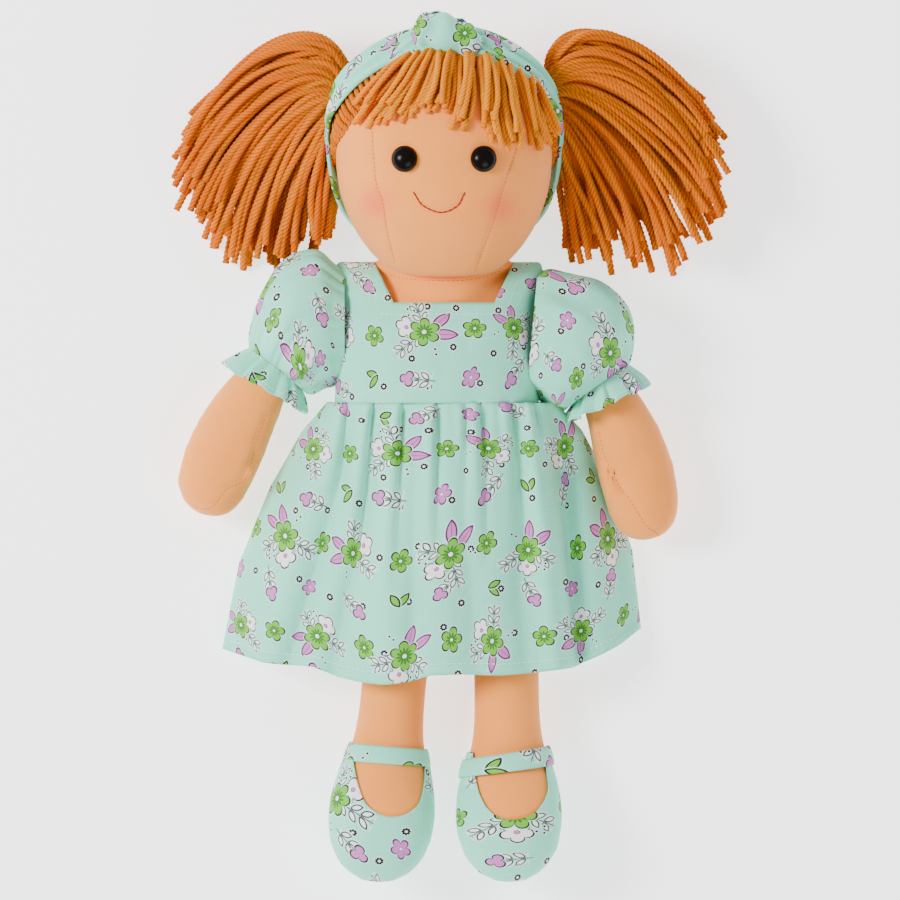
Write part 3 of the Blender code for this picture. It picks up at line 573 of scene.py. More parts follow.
def printed_cotton():
    finish, net, shader = new_material("printed_cotton", Roughness=0.86, Sheen_Weight=0.08)
    u, v, _ = parts_of(net, node(net, "ShaderNodeUVMap", uv_map="grain"))
    x, y = u * 1000.0, v * 1000.0
    warp, weft = (mottle(net, vector_of(*pair), 2.2) for pair in ((x, y * 0.03), (x * 0.03, y)))
    slub = (warp + weft) * 0.5
    base = paint(net, colour(MINT, -13), colour(MINT, 16), slub)

    def stamp(distance, filling, line=INK, width=0.56, halo=1.0, gate=None):
        """Halo, outline and filling of one motif over what is printed already."""
        nonlocal base
        for edge, soft, shade in ((halo, 0.35, HALO), (width, 0.14, line), (-0.04, 0.14, filling)):
            if edge and shade:
                cover = ((distance - edge) / -soft).limited()
                base = paint(net, base, shade, cover * gate if gate else cover)

    sx, sy, _, _ = scatter(x, y, SPECK_CELL, 3.0, 0.5)
    stamp(flower(sx, sy, 1.45, 8, 0.66), INK, INK, 0.14, 0.7)
    stamp(radius_of(sx, sy) - 0.55, BLOSSOM, BLOSSOM, 0.02, 0)

    drift = [(mottle(net, vector_of(x, y, depth), 0.021, 0.0) - 0.5) * DRIFT for depth in (0.0, 40.0)]
    x, y = x + drift[0], y + drift[1]
    px, py, chance, size = scatter(x, y, POSY_CELL, 1.0, 0.16)
    flip, grow = chance.then("GREATER_THAN", 0.5) * 2.0 - 1.0, size * 0.25 + 0.88
    px, py = px * grow, py * flip * grow
    half = POSY_CELL / 2
    ax, ay, _, _ = scatter(x + half, y, POSY_CELL, 2.0, 0.12)
    stamp(flower(ax, ay, 4.3, 5, 0.45), LEAF_GREEN)
    stamp(flower(ax, ay, 2.5, 10, 0.25), DEEP_GREEN, DEEP_GREEN, 0.02, 0)
    stamp(radius_of(ax, ay) - 0.7, BLOSSOM, INK, 0.12, 0)
    bx, by, _, _ = scatter(x, y + half, POSY_CELL, 4.0, 0.12)
    bx = bx + 4.5
    stamp(sprig(bx, by, 7.2, 3.6), BLOSSOM, INK, 0.40)
    stamp(stem(bx + 2.0, by, 10.0), None, INK, 0.14, 0)
    stamp(flower(bx - 8.6, by, 2.9, 3, 0.35), LILAC)
    dx, dy, toss, _ = scatter(x + half, y + half, POSY_CELL, 5.0, 0.12)
    bud, sprout = toss.then("GREATER_THAN", 0.5), toss.then("LESS_THAN", 0.5)
    stamp(flower(dx, dy, 3.3, 5, 0.4), LILAC, PLUM, gate=bud)
    stamp(radius_of(dx, dy) - 0.6, BLOSSOM, PLUM, 0.12, 0, bud)
    for turn in (35, -35):
        lx, ly = turned_about(dx, dy, math.radians(turn))
        stamp(leaf(lx - 2.6, ly, 5.4, 2.2), LEAF_GREEN, gate=sprout)

    for place, turn, length, width in (((-6.6, -2.8), 24, 8.6, 3.6), ((-2.6, -7.2), 76, 8.0, 3.4)):
        lx, ly = moved_to(px, py, place, turn)
        stamp(leaf(lx, ly, length, width), LILAC, PLUM)
        stamp(stem(lx + length / 2, ly, length * 0.8), None, PLUM, 0.06, 0)
    for place, turn, length in (((0.5, 3.0), 78, 10.8), ((3.0, -3.4), -38, 7.2)):
        gx, gy = moved_to(px, py, place, turn)
        stamp(sprig(gx, gy, length, 3.6), BLOSSOM, INK, 0.40)
        stamp(stem(gx, gy, length + 0.8), None, INK, 0.14, 0)
    wx, wy = moved_to(px, py, (6.6, 2.6), 20)
    stamp(flower(wx, wy, 4.3, 5, 0.6), BLOSSOM)
    stamp(radius_of(wx, wy) - 0.8, LILAC, INK, 0.15, 0)
    stamp(flower(px, py, 5.6, 6, 0.5), LEAF_GREEN)
    stamp(flower(px, py, 3.3, 12, 0.25), DEEP_GREEN, DEEP_GREEN, 0.02, 0)
    stamp(radius_of(px, py) - 1.0, BLOSSOM, INK, 0.2, 0)
    for across, up in ((8.6, -2.2), (10.2, -4.0), (7.8, -5.2), (-7.4, 3.6), (-9.0, 5.0)):
        stamp(radius_of(px - across, py - up) - 0.4, INK, INK, 0.1, 0.6)
    fill(net, shader, Base_Color=base)
    threads = [abs((run * (2 * math.pi / THREAD_PITCH)).then("SINE")) for run in (x, y)]
    relief(net, shader, threads[0] * threads[1] + slub, 0.00012, 0.6)
    return finish


COTTON = printed_cotton()
print("printed cotton:", len(COTTON.node_tree.nodes), "nodes")


# %% [markdown]
# ## Yarn, thread, eyes and elastic
#
# The hair is a plied knitting yarn in a warm orange, lighter over the forehead. Each strand carries a
# random tone, because no two strands catch the light alike, and has painted shade, a darker colour, in
# the grooves between its plies. Threads, eyes, washers and elastics are plain colours.

# %% Yarn, thread, eye and elastic materials
# Painted shade: the grooves between the plies take the yarn's dark colour times this
PAINTED_GROOVE_SHADE = 0.80


def yarn(name, light, dark):
    """Yarn whose strands differ in tone by their own random number, with painted shade in the grooves between the
    plies.
    """
    finish, net, shader = new_material(name, Roughness=0.9, Specular_IOR_Level=0.08, Subsurface_Weight=0.35,
                                       Subsurface_Radius=[1.0, 0.36, 0.10], Subsurface_Scale=0.0018)
    here = place_in(net)
    tone, ply = (Sum(net, node(net, "ShaderNodeAttribute", attribute_name=word).outputs["Fac"])
                 for word in ("tone", "ply"))
    base = paint(net, dark, light, (tone * 0.7 + mottle(net, here, 400.0) * 0.3).limited())
    # Painted shade: the grooves between the plies are darker, the tips of the plies keep the yarn colour
    base = paint(net, colour(dark, times=PAINTED_GROOVE_SHADE), base, (ply * 1.1 + 0.12).limited())
    fill(net, shader, Base_Color=base)
    relief(net, shader, mottle(net, here, 5000.0), 0.0002, 0.7)
    return finish


def plain(name, shade, roughness, specular=0.25):
    return new_material(name, Base_Color=shade, Roughness=roughness, Specular_IOR_Level=specular)[0]


HAIR = yarn("hair_yarn", (246, 138, 8), (212, 98, 8))
CAP_HAIR = yarn("hairline_yarn", (232, 128, 8), (200, 94, 6))
FRINGE = yarn("fringe_yarn", (255, 160, 18), (246, 136, 10))
CORE = plain("yarn_in_shadow", (208, 92, 8), 0.95)
MOUTH_THREAD = plain("mouth_thread", (150, 24, 10), 0.6)
SEAM_THREAD = plain("seam_thread", (176, 84, 48), 0.8)
DRESS_THREAD = plain("dress_thread", (232, 250, 243), 0.7)
EYE_BLACK = plain("eye_black", (12, 7, 5), 0.22, 0.09)
WASHER = plain("washer_white", (220, 220, 216), 0.4)
ELASTIC = plain("elastic_white", (228, 228, 222), 0.75)
for word, finish in (("eye_washer", WASHER), ("cuff_elastic", ELASTIC)):
    for side in SIDES:
        solid = frame["nodes"][f"{word}_{side}"]
        solid.data.materials.clear()
        solid.data.materials.append(finish)
print("yarn, thread and eye materials ready")


# %% [markdown]
# ## Strands and stitches by Geometry Nodes
#
# Both trees take thin polylines and turn them into solid things. The yarn tree resamples a route, turns
# a four-lobed section steadily along it, so that the plies wind round each other, and closes the ends.
# The stitch tree puts a small rounded bar at every pitch of a seam.

# %% The yarn and stitch trees
SOCKET_KINDS = {float: "NodeSocketFloat", int: "NodeSocketInt", type(None): "NodeSocketMaterial"}


def new_tree(name, **inputs):
    """A tree with named inputs: a decimal number, a whole number or, for None, a material."""
    tree = bpy.data.node_groups.new(name, "GeometryNodeTree")
    for way in ("INPUT", "OUTPUT"):
        tree.interface.new_socket("Geometry", in_out=way, socket_type="NodeSocketGeometry")
    for word, value in inputs.items():
        kind = SOCKET_KINDS[type(value)]
        made = tree.interface.new_socket(word.replace("_", " "), in_out="INPUT", socket_type=kind)
        if value is not None:
            made.default_value = value
    return tree, {s.name: Sum(tree, s) for s in node(tree, "NodeGroupInput").outputs if s.name}


def remembered(tree, geometry, name, value):
    return node(tree, "GeometryNodeStoreNamedAttribute", data_type="FLOAT", domain="POINT",
                Geometry=geometry, Name=name, Value=value)


def ended(tree, geometry, finish):
    """Make all copies real, give them their material, and end the tree."""
    whole = node(tree, "GeometryNodeRealizeInstances", Geometry=geometry)
    dressed = node(tree, "GeometryNodeSetMaterial", Geometry=whole, Material=finish)
    node(tree, "NodeGroupOutput", Geometry=dressed)
    return tree


def yarn_tree():
    tree, given = new_tree("twisted yarn", Thickness=0.003, Step=0.0008, Twist_length=0.0078, Seed=1, Yarn=None)
    route = node(tree, "GeometryNodeMeshToCurve", Mesh=given["Geometry"])
    even = node(tree, "GeometryNodeResampleCurve", mode="LENGTH", Curve=route, Length=given["Step"])
    along = Sum(tree, node(tree, "GeometryNodeSplineParameter").outputs["Length"])
    turn = along / given["Twist length"] * (2 * math.pi)
    twisted = node(tree, "GeometryNodeSetCurveTilt", Curve=even, Tilt=turn)
    strand = node(tree, "GeometryNodeCurveOfPoint").outputs["Curve Index"]
    dice = node(tree, "FunctionNodeRandomValue", data_type="FLOAT", ID=strand, Seed=given["Seed"])
    tone = next(s for s in dice.outputs if s.enabled and s.type == "VALUE")
    section = node(tree, "GeometryNodeCurveStar", Points=4, Outer_Radius=given["Thickness"] * 0.52,
                   Inner_Radius=given["Thickness"] * 0.44)
    # ply is 1 on the tips of the lobes; the yarn material paints shade where it is low, in the grooves
    lobed = remembered(tree, section, "ply", section.outputs["Outer Points"])
    strands_made = node(tree, "GeometryNodeCurveToMesh", Curve=remembered(tree, twisted, "tone", tone),
                        Profile_Curve=lobed, Fill_Caps=True)
    return ended(tree, strands_made, given["Yarn"])


def stitch_tree():
    tree, given = new_tree("stitches", Pitch=0.002, Length=0.0016, Thickness=0.0004, Thread=None)
    route = node(tree, "GeometryNodeMeshToCurve", Mesh=given["Geometry"])
    spots = node(tree, "GeometryNodeCurveToPoints", mode="LENGTH", Curve=route, Length=given["Pitch"])
    bar = node(tree, "GeometryNodeMeshUVSphere", Segments=6, Rings=5, Radius=0.5)
    size = node(tree, "ShaderNodeCombineXYZ", X=given["Thickness"], Y=given["Thickness"], Z=given["Length"])
    copies = node(tree, "GeometryNodeInstanceOnPoints", Points=spots.outputs["Points"], Instance=bar,
                  Rotation=spots.outputs["Rotation"], Scale=size)
    return ended(tree, copies, given["Thread"])


YARN_TREE = yarn_tree()
STITCH_TREE = stitch_tree()


def run_tree(name, routes, tree, **values):
    """Polylines through a tree, as a plain mesh."""
    points, edges = [], []
    for route in routes:
        edges += [(len(points) + k, len(points) + k + 1) for k in range(len(route) - 1)]
        points += route
    item = piece_from(name, points, (), edges)
    maker = item.modifiers.new("maker", "NODES")
    maker.node_group = tree
    names = {s.name: s.identifier for s in tree.interface.items_tree if s.in_out == "INPUT"}
    for label, value in values.items():
        maker[names[label]] = value
    return finished(item)


def strands(name, routes, finish, body, thickness, nodes=(), seed=1, step=0.0008):
    item = run_tree(name, routes, YARN_TREE, Thickness=thickness, Step=step, Seed=seed, Yarn=finish)
    return settle(item, finish, body, nodes)


def stitches(name, routes, finish, body, pitch, length, thickness):
    item = run_tree(name, routes, STITCH_TREE, Pitch=pitch, Length=length, Thickness=thickness, Thread=finish)
    return settle(item, finish, body)


print("trees ready")


# %% [markdown]
# ## Stuffing
#
# The head, trunk, arms and legs are bags of knit cloth filled with fibre. Each starts as a copy of its
# solid, remeshed into even squares and drawn in a little. A short cloth simulation then blows it up
# again with pressure from inside, as the filling does, which gives the slight bulges that a smooth
# solid lacks. How far a point may move is held within a millimetre, so the sizes stay true.

# %% Stuffed pieces
PUFF_LIMIT = 0.0010
DRAWN_IN = 0.0005
PRESSED_STEPS = 20


def stuffed(name, body, finish, cell, levels, reshape=None):
    """A bag of cloth in place of the solid of the same name as its body."""
    item = merged(name, body)
    changed(item, "REMESH", mode="VOXEL", voxel_size=cell)
    changed(item, "SMOOTH", iterations=4, factor=0.5)
    start, facing = arrays(item)
    moved(item, start - facing * DRAWN_IN)
    rules = item.modifiers.new("stuffing", "CLOTH").settings
    rules.quality = 4
    rules.mass = 0.3
    rules.use_pressure = True
    rules.uniform_pressure_force = 4.0
    rules.effector_weights.gravity = 0.0
    for number in range(1, PRESSED_STEPS + 1):
        bpy.context.scene.frame_set(number)
    finished(item)
    bpy.context.scene.frame_set(1)
    move = arrays(item)[0] - start
    far = np.linalg.norm(move, axis=1, keepdims=True)
    blown = start + move * np.minimum(1.0, PUFF_LIMIT / np.maximum(far, 1e-9))
    blown[:, 2] = np.maximum(blown[:, 2], 0.0004)
    moved(item, blown)
    changed(item, "SUBSURF", levels=levels, render_levels=levels)
    if reshape:
        reshape(item)
    settle(item, finish, body, (body,))
    return item


def sink(item, spots, depth, width):
    """Draw the cloth in along a line of spots, as a tight seam or a stitch does."""
    line = np.array([tuple(spot) for spot in spots])
    points, facing = arrays(item)
    near = np.full(len(points), 1e9)
    for a, b in zip(line[:-1], line[1:]):
        run = b - a
        share = np.clip(((points - a) @ run) / max(run @ run, 1e-12), 0, 1)
        near = np.minimum(near, np.linalg.norm(points - a - share[:, None] * run, axis=1))
    moved(item, points - facing * (depth * np.exp(-(near / width) ** 2))[:, None])


def swell(item, spot, height, reach):
    """Push the cloth outwards round one spot."""
    for vertex in item.data.vertices:
        near = (vertex.co - spot).length / reach
        if near < 2.5:
            vertex.co += vertex.normal * (height * hill(near))


def drape_line(tree, places, count=60, lift=0.0):
    """A smooth line through x, y places, dropped onto a surface from above."""
    flat = curve_through([(x, y, 0.0) for x, y in places], count)
    return [straight_down(tree, spot.x, spot.y, lift) for spot in flat]


# %% [markdown]
# ## The head and its face
#
# Two long seams join the face to the sides of the head, and the mouth is a few stitches of red thread.
# The lines were chosen as places across and up the head. They are dropped onto the solid, the cloth is
# drawn in along them, and thread is laid in the groove.

# %% Head, seams and mouth
FACE_SEAMS = {
    "right": mm(((-29, 90), (-27.3, 67.7), (-24.6, 59.3), (-23, 48.4), (-19.8, 35.5))),
    "left": mm(((29, 80), (23.8, 64.5), (21.4, 56.4), (18.1, 46.4), (12.5, 32.3))),
}
MOUTH = mm(((-11.7, 62.1), (-8.3, 57.5), (-1.2, 54.8), (5.2, 57.3), (7.9, 61.9)))
CHIN_DROP = 0.0030
CHIN_TOP = 0.0500
head_tree = solid_tree("head")
seam_lines = {side: drape_line(head_tree, FACE_SEAMS[side]) for side in SIDES}
mouth_line = drape_line(head_tree, MOUTH, 40)
eye_middles = {side: sum((Vector(corner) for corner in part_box(f"eye_{side}")), Vector()) / 2 for side in SIDES}


def shape_head(item):
    """Lower the chin, and draw the cloth in at the seams, the eyes and the mouth."""
    points, _ = arrays(item)
    low = np.clip((CHIN_TOP - points[:, 1]) / 0.0160, 0, 1)
    points[:, 1] -= CHIN_DROP * low * np.exp(-((points[:, 2] - 0.0500) / 0.0130) ** 2)
    moved(item, points)
    for side in SIDES:
        sink(item, seam_lines[side], 0.00045, 0.0011)
        spot = straight_down(head_tree, eye_middles[side].x, eye_middles[side].y)
        sink(item, [spot, spot + Vector((0, 0.0001, 0))], 0.0010, 0.0065)
    sink(item, mouth_line, 0.0004, 0.0014)


HEAD = stuffed("stuffed_head", "head", FACE, 0.0030, 2, shape_head)
head_tree = tree_of(HEAD)
for side in SIDES:
    line = drape_line(head_tree, FACE_SEAMS[side], 120, 0.00002)
    stitches(f"face_seam_{side}", [line], SEAM_THREAD, "head", 0.0017, 0.0013, 0.00026)
line = drape_line(head_tree, MOUTH, 90, 0.00016)
stitches("mouth", [line], MOUTH_THREAD, "head", 0.0021, 0.0025, 0.00070)


# %% [markdown]
# ## Eyes
#
# The eyes are moulded black domes on a shank. A dome turned from a smooth profile takes a cleaner
# highlight than the faceted solid, so it stands in for the solid, on the same axis.

# %% Turned eyes
EYE_RADIUS = 0.00535
EYE_DOME = 0.0042
EYE_TILT = math.radians(13)
EYE_SIDES = 56
DOME_STEPS = 14
SHANK_RADIUS = 0.0015
SHANK_END = -0.0080


def turned_piece(name, profile, place, facing):
    """A closed solid of revolution about facing through place; the profile is radius and height."""
    way = Matrix.Translation(place) @ facing.to_track_quat("Z", "Y").to_matrix().to_4x4()
    points = []
    for radius, height in profile:
        for step in range(EYE_SIDES):
            turn = 2 * math.pi * step / EYE_SIDES
            points.append(way @ Vector((radius * math.cos(turn), radius * math.sin(turn), height)))
    item = piece_from(name, points, woven(len(profile), EYE_SIDES))
    with opened(item) as shape:
        bmesh.ops.remove_doubles(shape, verts=shape.verts, dist=0.000005)
        bmesh.ops.recalc_face_normals(shape, faces=shape.faces)
    return item


for side, sign in SIDES.items():
    facing = Vector((sign * math.sin(EYE_TILT), 0, math.cos(EYE_TILT)))
    solid = merged("copy", f"eye_{side}")
    top = max(vertex.co.dot(facing) for vertex in solid.data.vertices)
    bpy.data.objects.remove(solid)
    middle = eye_middles[side]
    seat = middle + facing * (top - EYE_DOME - middle.dot(facing))
    profile = [(0, EYE_DOME)]
    for step in range(1, DOME_STEPS + 1):
        turn = math.pi / 2 * step / DOME_STEPS
        profile.append((EYE_RADIUS * math.sin(turn), EYE_DOME * math.cos(turn)))
    profile += [(EYE_RADIUS * 0.97, -0.0004), (SHANK_RADIUS, -0.0004), (SHANK_RADIUS, SHANK_END), (0, SHANK_END)]
    eye = turned_piece(f"glossy_eye_{side}", profile, seat, facing)
    settle(eye, EYE_BLACK, "head", (f"eye_{side}",))
print("eyes seated at", [round(c, 4) for c in seat])


# %% [markdown]
# ## Trunk, arms and legs
#
# The arm is cut from two pieces of cloth, so one seam runs down its upper side and round the hand, and
# a short pucker draws in the thumb. The seam lines are given on the ground plan, as they were for the face.

# %% Trunk, arms and legs
NECK_FILL = 0.46
NECK_DIP = 0.13
TRUNK_MIDDLE = 0.026
NECK_SEAM = mm(((-27.6, 32), (-17, 29), (-1, 27.7), (13, 28.6), (22.2, 31.6)))
ARM_SEAMS = {
    "right": mm(((-71.8, -26.6), (-75.8, -37), (-79.8, -51.6), (-87.5, -56), (-93, -62.8), (-97.5, -64.2),
                 (-101.2, -62.8))),
    "left": mm(((61.5, -28.2), (64.9, -42.7), (71.5, -56), (74.2, -59.3), (81.8, -71), (85.1, -73), (86.8, -75))),
}
THUMBS = {"right": mm(((-75.8, -43.1), (-79.4, -50.4))), "left": mm(((64.9, -45.6), (72.6, -56.4)))}


def shape_trunk(item):
    """The shoulders fill the neckline, and the neck dips under the chin."""
    points, _ = arrays(item)
    up, high = points[:, 1], points[:, 2] - TRUNK_MIDDLE
    points[:, 0] *= 1 + NECK_FILL * np.exp(-((up - 0.0345) / 0.0050) ** 2)
    dip = NECK_DIP * np.clip((up - 0.0205) / 0.0110, 0, 1) ** 1.5
    points[:, 2] = TRUNK_MIDDLE + high * (1 - dip * (high > 0))
    moved(item, points)
    sink(item, drape_line(tree_of(item), NECK_SEAM, 40), 0.0002, 0.0012)


TORSO = stuffed("stuffed_trunk", "torso", SKIN, 0.0035, 1, shape_trunk)
line = drape_line(tree_of(TORSO), NECK_SEAM, 90, 0.00006)
stitches("neck_seam", [line], SEAM_THREAD, "torso", 0.0019, 0.0012, 0.00022)
LEGS = {}
for side in SIDES:
    arm_tree = solid_tree(f"arm_{side}")
    seam = drape_line(arm_tree, ARM_SEAMS[side], 50)
    tuck = drape_line(arm_tree, THUMBS[side], 12)

    def shape_arm(item):
        """Seam, thumb and the pucker beside the thumb."""
        sink(item, seam, 0.0004, 0.0012)
        swell(item, tuck[len(tuck) // 2] + Vector((-0.0046 * SIDES[side], 0.0016, 0)), 0.0017, 0.0060)
        sink(item, tuck, 0.0015, 0.0026)

    arm = stuffed(f"stuffed_arm_{side}", f"arm_{side}", SKIN, 0.0030, 2, shape_arm)
    LEGS[side] = stuffed(f"stuffed_leg_{side}", f"leg_{side}", SKIN, 0.0030, 1)
    line = drape_line(tree_of(arm), ARM_SEAMS[side], 90, 0.00002)
    stitches(f"arm_seam_{side}", [line], SEAM_THREAD, f"arm_{side}", 0.0017, 0.0013, 0.00024)


# %% [markdown]
# ## The skirt
#
# The skirt is a wide tube gathered at the waist. Its rings are domed over the legs and flat on the
# ground behind. Gathers start sharp at the waist and die away downwards, so each is a line with a depth,
# a width and a length, and the cloth sinks along it.

# %% Skirt
SKIRT_ROWS = 74
SKIRT_COLUMNS = 288
skirt_low, skirt_high = (Vector(corner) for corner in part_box("skirt"))
WAIST = skirt_high.y
SKIRT_DOWN = WAIST - skirt_low.y
# Place down the skirt, half width, middle, front height, roundness of the dome
SKIRT_SHARES = (
    (0.00, 0.0455, -0.0012, 0.0515, 2.00),
    (0.12, 0.0560, -0.0010, 0.0535, 1.85),
    (0.34, 0.0680, -0.0018, 0.0525, 1.60),
    (0.65, 0.0790, -0.0034, 0.0480, 1.50),
    (1.00, 0.0842, -0.0050, 0.0440, 1.55),
)
# Place of each gather at the waist and lower down, depth, width and how far down it reaches
GATHERS = (
    (-0.0390, -0.0470, 0.0020, 0.0030, 0.40),
    (-0.0286, -0.0350, 0.0034, 0.0032, 0.62),
    (-0.0169, -0.0196, 0.0036, 0.0032, 0.70),
    (-0.0032, -0.0030, 0.0036, 0.0032, 0.66),
    (0.0080, 0.0100, 0.0018, 0.0026, 0.34),
    (0.0141, 0.0170, 0.0034, 0.0032, 0.62),
    (0.0266, 0.0330, 0.0036, 0.0034, 0.64),
    (0.0358, 0.0450, 0.0030, 0.0032, 0.50),
)
# Place of each long fold at the waist and at the hem, depth and width
LONG_FOLDS = mm((
    (44, 54, 12.5, 4.4), (60, 74, 5, 4.6), (-33, -62, 7.8, 6), (-23, -45, 5.6, 5), (-11, -12.5, 4.6, 5.8),
    (6, 13, 3.6, 8), (24, 33, 3.4, 6.4),
))
# The edge of the hem: place across and height up the doll
HEM_LINE = mm(((-89.5, -120.8), (-72.6, -126.2), (-52.4, -127.8), (-42.3, -131.8), (-33.1, -133.9),
               (-23.8, -134.8), (-13.7, -133.5), (-5.2, -131), (6.5, -130.6), (23.4, -131), (38.7, -129.8),
               (51.6, -128.2), (61.7, -123.8), (71, -118.9), (78.6, -112.9)))
HEM_DEPTH = 0.0046
SKIRT_BACK = 0.0014


def groove(off, steep, slack, power):
    """A groove across a fold, steep on one side and slack on the other."""
    return math.exp(-(abs(off) / (steep if off < 0 else slack)) ** power)


def fold_lift(x, down, dome):
    """How far gathers, folds and small unevenness raise the front of the skirt."""
    lift = 0.0
    for start, end, depth, width, reach in GATHERS:
        fade = depth * max(0.0, 1.0 - down / reach) ** 0.7 * min(1.0, 0.3 + down / 0.05)
        off = (x - start - (end - start) * down / 0.6) / (width * (0.45 + 1.3 * down))
        lift += fade * (0.70 * hill(off + 1.3, 0.9) - 1.35 * groove(off, 0.45, 1.5, 1.3))
    for start, end, depth, width in LONG_FOLDS:
        fade = depth * math.sin(min(1.0, down / 0.3) * math.pi / 2) * (1 - 0.4 * down)
        off = (x - start - (end - start) * down) / width
        lift += fade * (0.45 * hill(off + 1.8, 1.2) - groove(off, 0.7, 1.4, 1.5))
    tiny = max(0.0, 1.0 - down / 0.10)
    lift += 0.0003 * tiny * math.sin(x * 2 * math.pi / 0.0056 + 5.0 * noise(Vector((x * 90, 0, 0))))
    lift += 0.0012 * down * noise(Vector((x * 26, down * 2.5, 3.0)))
    return lift * min(1.0, dome * 2.2)


def skirt_ring(down, folded):
    half, middle, front, power = row_at(SKIRT_SHARES, down)
    half_low, middle_low = row_at(SKIRT_SHARES, 1.0)[:2]
    edge_height = 0.0255 * max(0.0, 1.0 - down / 0.25) + 0.0030
    points = []
    for column in range(SKIRT_COLUMNS):
        turn = -math.pi / 2 + 2 * math.pi * column / SKIRT_COLUMNS
        share, up = math.cos(turn), math.sin(turn)
        dome = (1 - abs(share) ** power) ** (1 / power)
        x = middle + share * half
        z = edge_height + dome * (front - edge_height if up >= 0 else SKIRT_BACK - edge_height)
        if folded and up > 0:
            z += fold_lift(x, down, dome)
        elif folded:
            z += 0.0006 * noise(Vector((x * 60, down * 4, 9.0)))
        edge = float(np.interp(middle_low + share * half_low, *zip(*HEM_LINE)))
        points.append(Vector((x, WAIST - down * (WAIST - edge), max(GROUND_GAP, z))))
    return points


rows = [number / SKIRT_ROWS for number in range(SKIRT_ROWS + 1)]
smooth_rings, rings = ([skirt_ring(down, folded) for down in rows] for folded in (False, True))
hem_row = SKIRT_ROWS - round(SKIRT_ROWS * HEM_DEPTH / SKIRT_DOWN)
for number in range(hem_row, SKIRT_ROWS + 1):
    for point in rings[number]:
        point.z += 0.0004 if number > hem_row else -0.0003
SKIRT = cloth("gathered_skirt", rings, DRESS_WALL, (0.013, 0.004), smooth_rings)
settle(SKIRT, COTTON, None, ("skirt",))
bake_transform(SKIRT)
skirt_tree = tree_of(SKIRT)
line = [straight_down(skirt_tree, spot.x, spot.y, 0.0001) for spot in rings[hem_row] if spot.z > 0.008]
stitches("hem_stitching", [line], DRESS_THREAD, "hips", 0.0023, 0.0016, 0.00042)
hem_girth = girth_of(rings[-1])
print("hem round the edge:", round(hem_girth, 3), "m")


# %% [markdown]
# ## The bodice
#
# The top of the dress is a tube round the chest with a square neckline, wider at the top than at the
# bottom. The columns of the tube are spaced so that one of them runs exactly down each side of the
# neckline: leaving out the faces between them cuts a clean opening with no trimming.

# %% Bodice
# Height, middle, half width and half depth of each section
BODICE_SECTIONS = mm((
    (-21.5, -2.8, 41.2, 26.2), (-9.5, -3.5, 40.4, 26.4), (10, -3.5, 40.5, 25.5), (24, -3, 41.5, 19),
    (31, -2.2, 42.4, 12.5), (34.8, -2, 41.2, 6), (35.6, -2, 40, 1),
))
BODICE_ROUND = 2.3
BODICE_MIDDLE = 0.0262
BODICE_LOW = -0.0215
NECKLINE_LOW = 0.0190
NECKLINE_TOP = 0.0356
NAPE = 0.0290
NAPE_HALF = 0.027
BODICE_COLUMNS = (18, 34, 30, 44, 30, 34, 18)
STITCH_INSET = 0.0046


def neckline_half(y):
    """Half the width of the square neckline at a height."""
    share = min(1.0, max(0.0, (y - NECKLINE_LOW) / (NECKLINE_TOP - NECKLINE_LOW)))
    return 0.0203 + 0.0078 * share


def bodice_ring(y):
    middle, half, depth = row_at(BODICE_SECTIONS, y)

    def turn_at(x, back=False):
        """The turn at which the section passes a place across."""
        share = max(-1.0, min(1.0, (x - middle) / half))
        turn = math.acos(math.copysign(abs(share) ** (BODICE_ROUND / 2), share))
        return (2 * math.pi - turn if x < 0 else -turn) if back else turn

    neck = neckline_half(y)
    stops = [-math.pi / 2, turn_at(NAPE_HALF, True), 0.0, turn_at(neck), turn_at(-neck), math.pi,
             turn_at(-NAPE_HALF, True), 3 * math.pi / 2]
    points = []
    for start, end, columns in zip(stops, stops[1:], BODICE_COLUMNS):
        for step in range(columns):
            turn = start + (end - start) * step / columns
            share, up = math.cos(turn), math.sin(turn)
            x = middle + math.copysign(abs(share) ** (2 / BODICE_ROUND), share) * half
            z = BODICE_MIDDLE + math.copysign(abs(up) ** (2 / BODICE_ROUND), up) * depth
            for size, fine, tall, seed in ((0.0013, 45, 40, 2.0), (0.0006, 120, 60, 5.0)):
                z += size * noise(Vector((x * fine, y * tall, seed))) * max(0.0, up)
            points.append(Vector((x, y, max(0.0008, z))))
    return points


heights = []
for top, low, count in ((NECKLINE_TOP, NAPE, 8), (NAPE, NECKLINE_LOW, 8), (NECKLINE_LOW, BODICE_LOW, 29)):
    heights += [float(v) for v in np.linspace(top, low, count + 1)[:-1]]
heights.append(BODICE_LOW)
edges = np.cumsum((0,) + BODICE_COLUMNS)


def neck_opening(row, column):
    front = edges[3] <= column < edges[4] and heights[row] > NECKLINE_LOW + 0.00001
    back = (column < edges[1] or column >= edges[6]) and heights[row] > NAPE + 0.00001
    return front or back


rings = [bodice_ring(y) for y in heights]
BODICE = cloth("bodice_cloth", rings, DRESS_WALL, (0.021, 0.017), None, neck_opening)
settle(BODICE, COTTON, "torso", ("bodice",))
bodice_tree = tree_of(BODICE)
neck_stitch = [(-neckline_half(0.034) - STITCH_INSET, 0.0345),
               (-neckline_half(NECKLINE_LOW) - STITCH_INSET, NECKLINE_LOW - STITCH_INSET)]
neck_stitch = neck_stitch + [(-x, y) for x, y in neck_stitch[::-1]]
lines = [drape_line(bodice_tree, pair, 50, 0.0001) for pair in zip(neck_stitch, neck_stitch[1:])]
stitches("neckline_stitching", lines, DRESS_THREAD, "torso", 0.0020, 0.0014, 0.00030)


# %% [markdown]
# ## Puffed sleeves and frills
#
# A puffed sleeve is a wide tube drawn in at both ends. Its rings run between an outer and an inner edge,
# which were read off the ground plan, and ripple where the cloth is gathered. The frill is what is left
# of the tube below the elastic, so it starts with the same small ripples and opens out.

# %% Sleeves and frills
SLEEVE_COLUMNS = 168
SLEEVE_STEPS, FRILL_STEPS = 56, 24
SLEEVE_FOLDS, FRILL_FOLDS = 18, 14
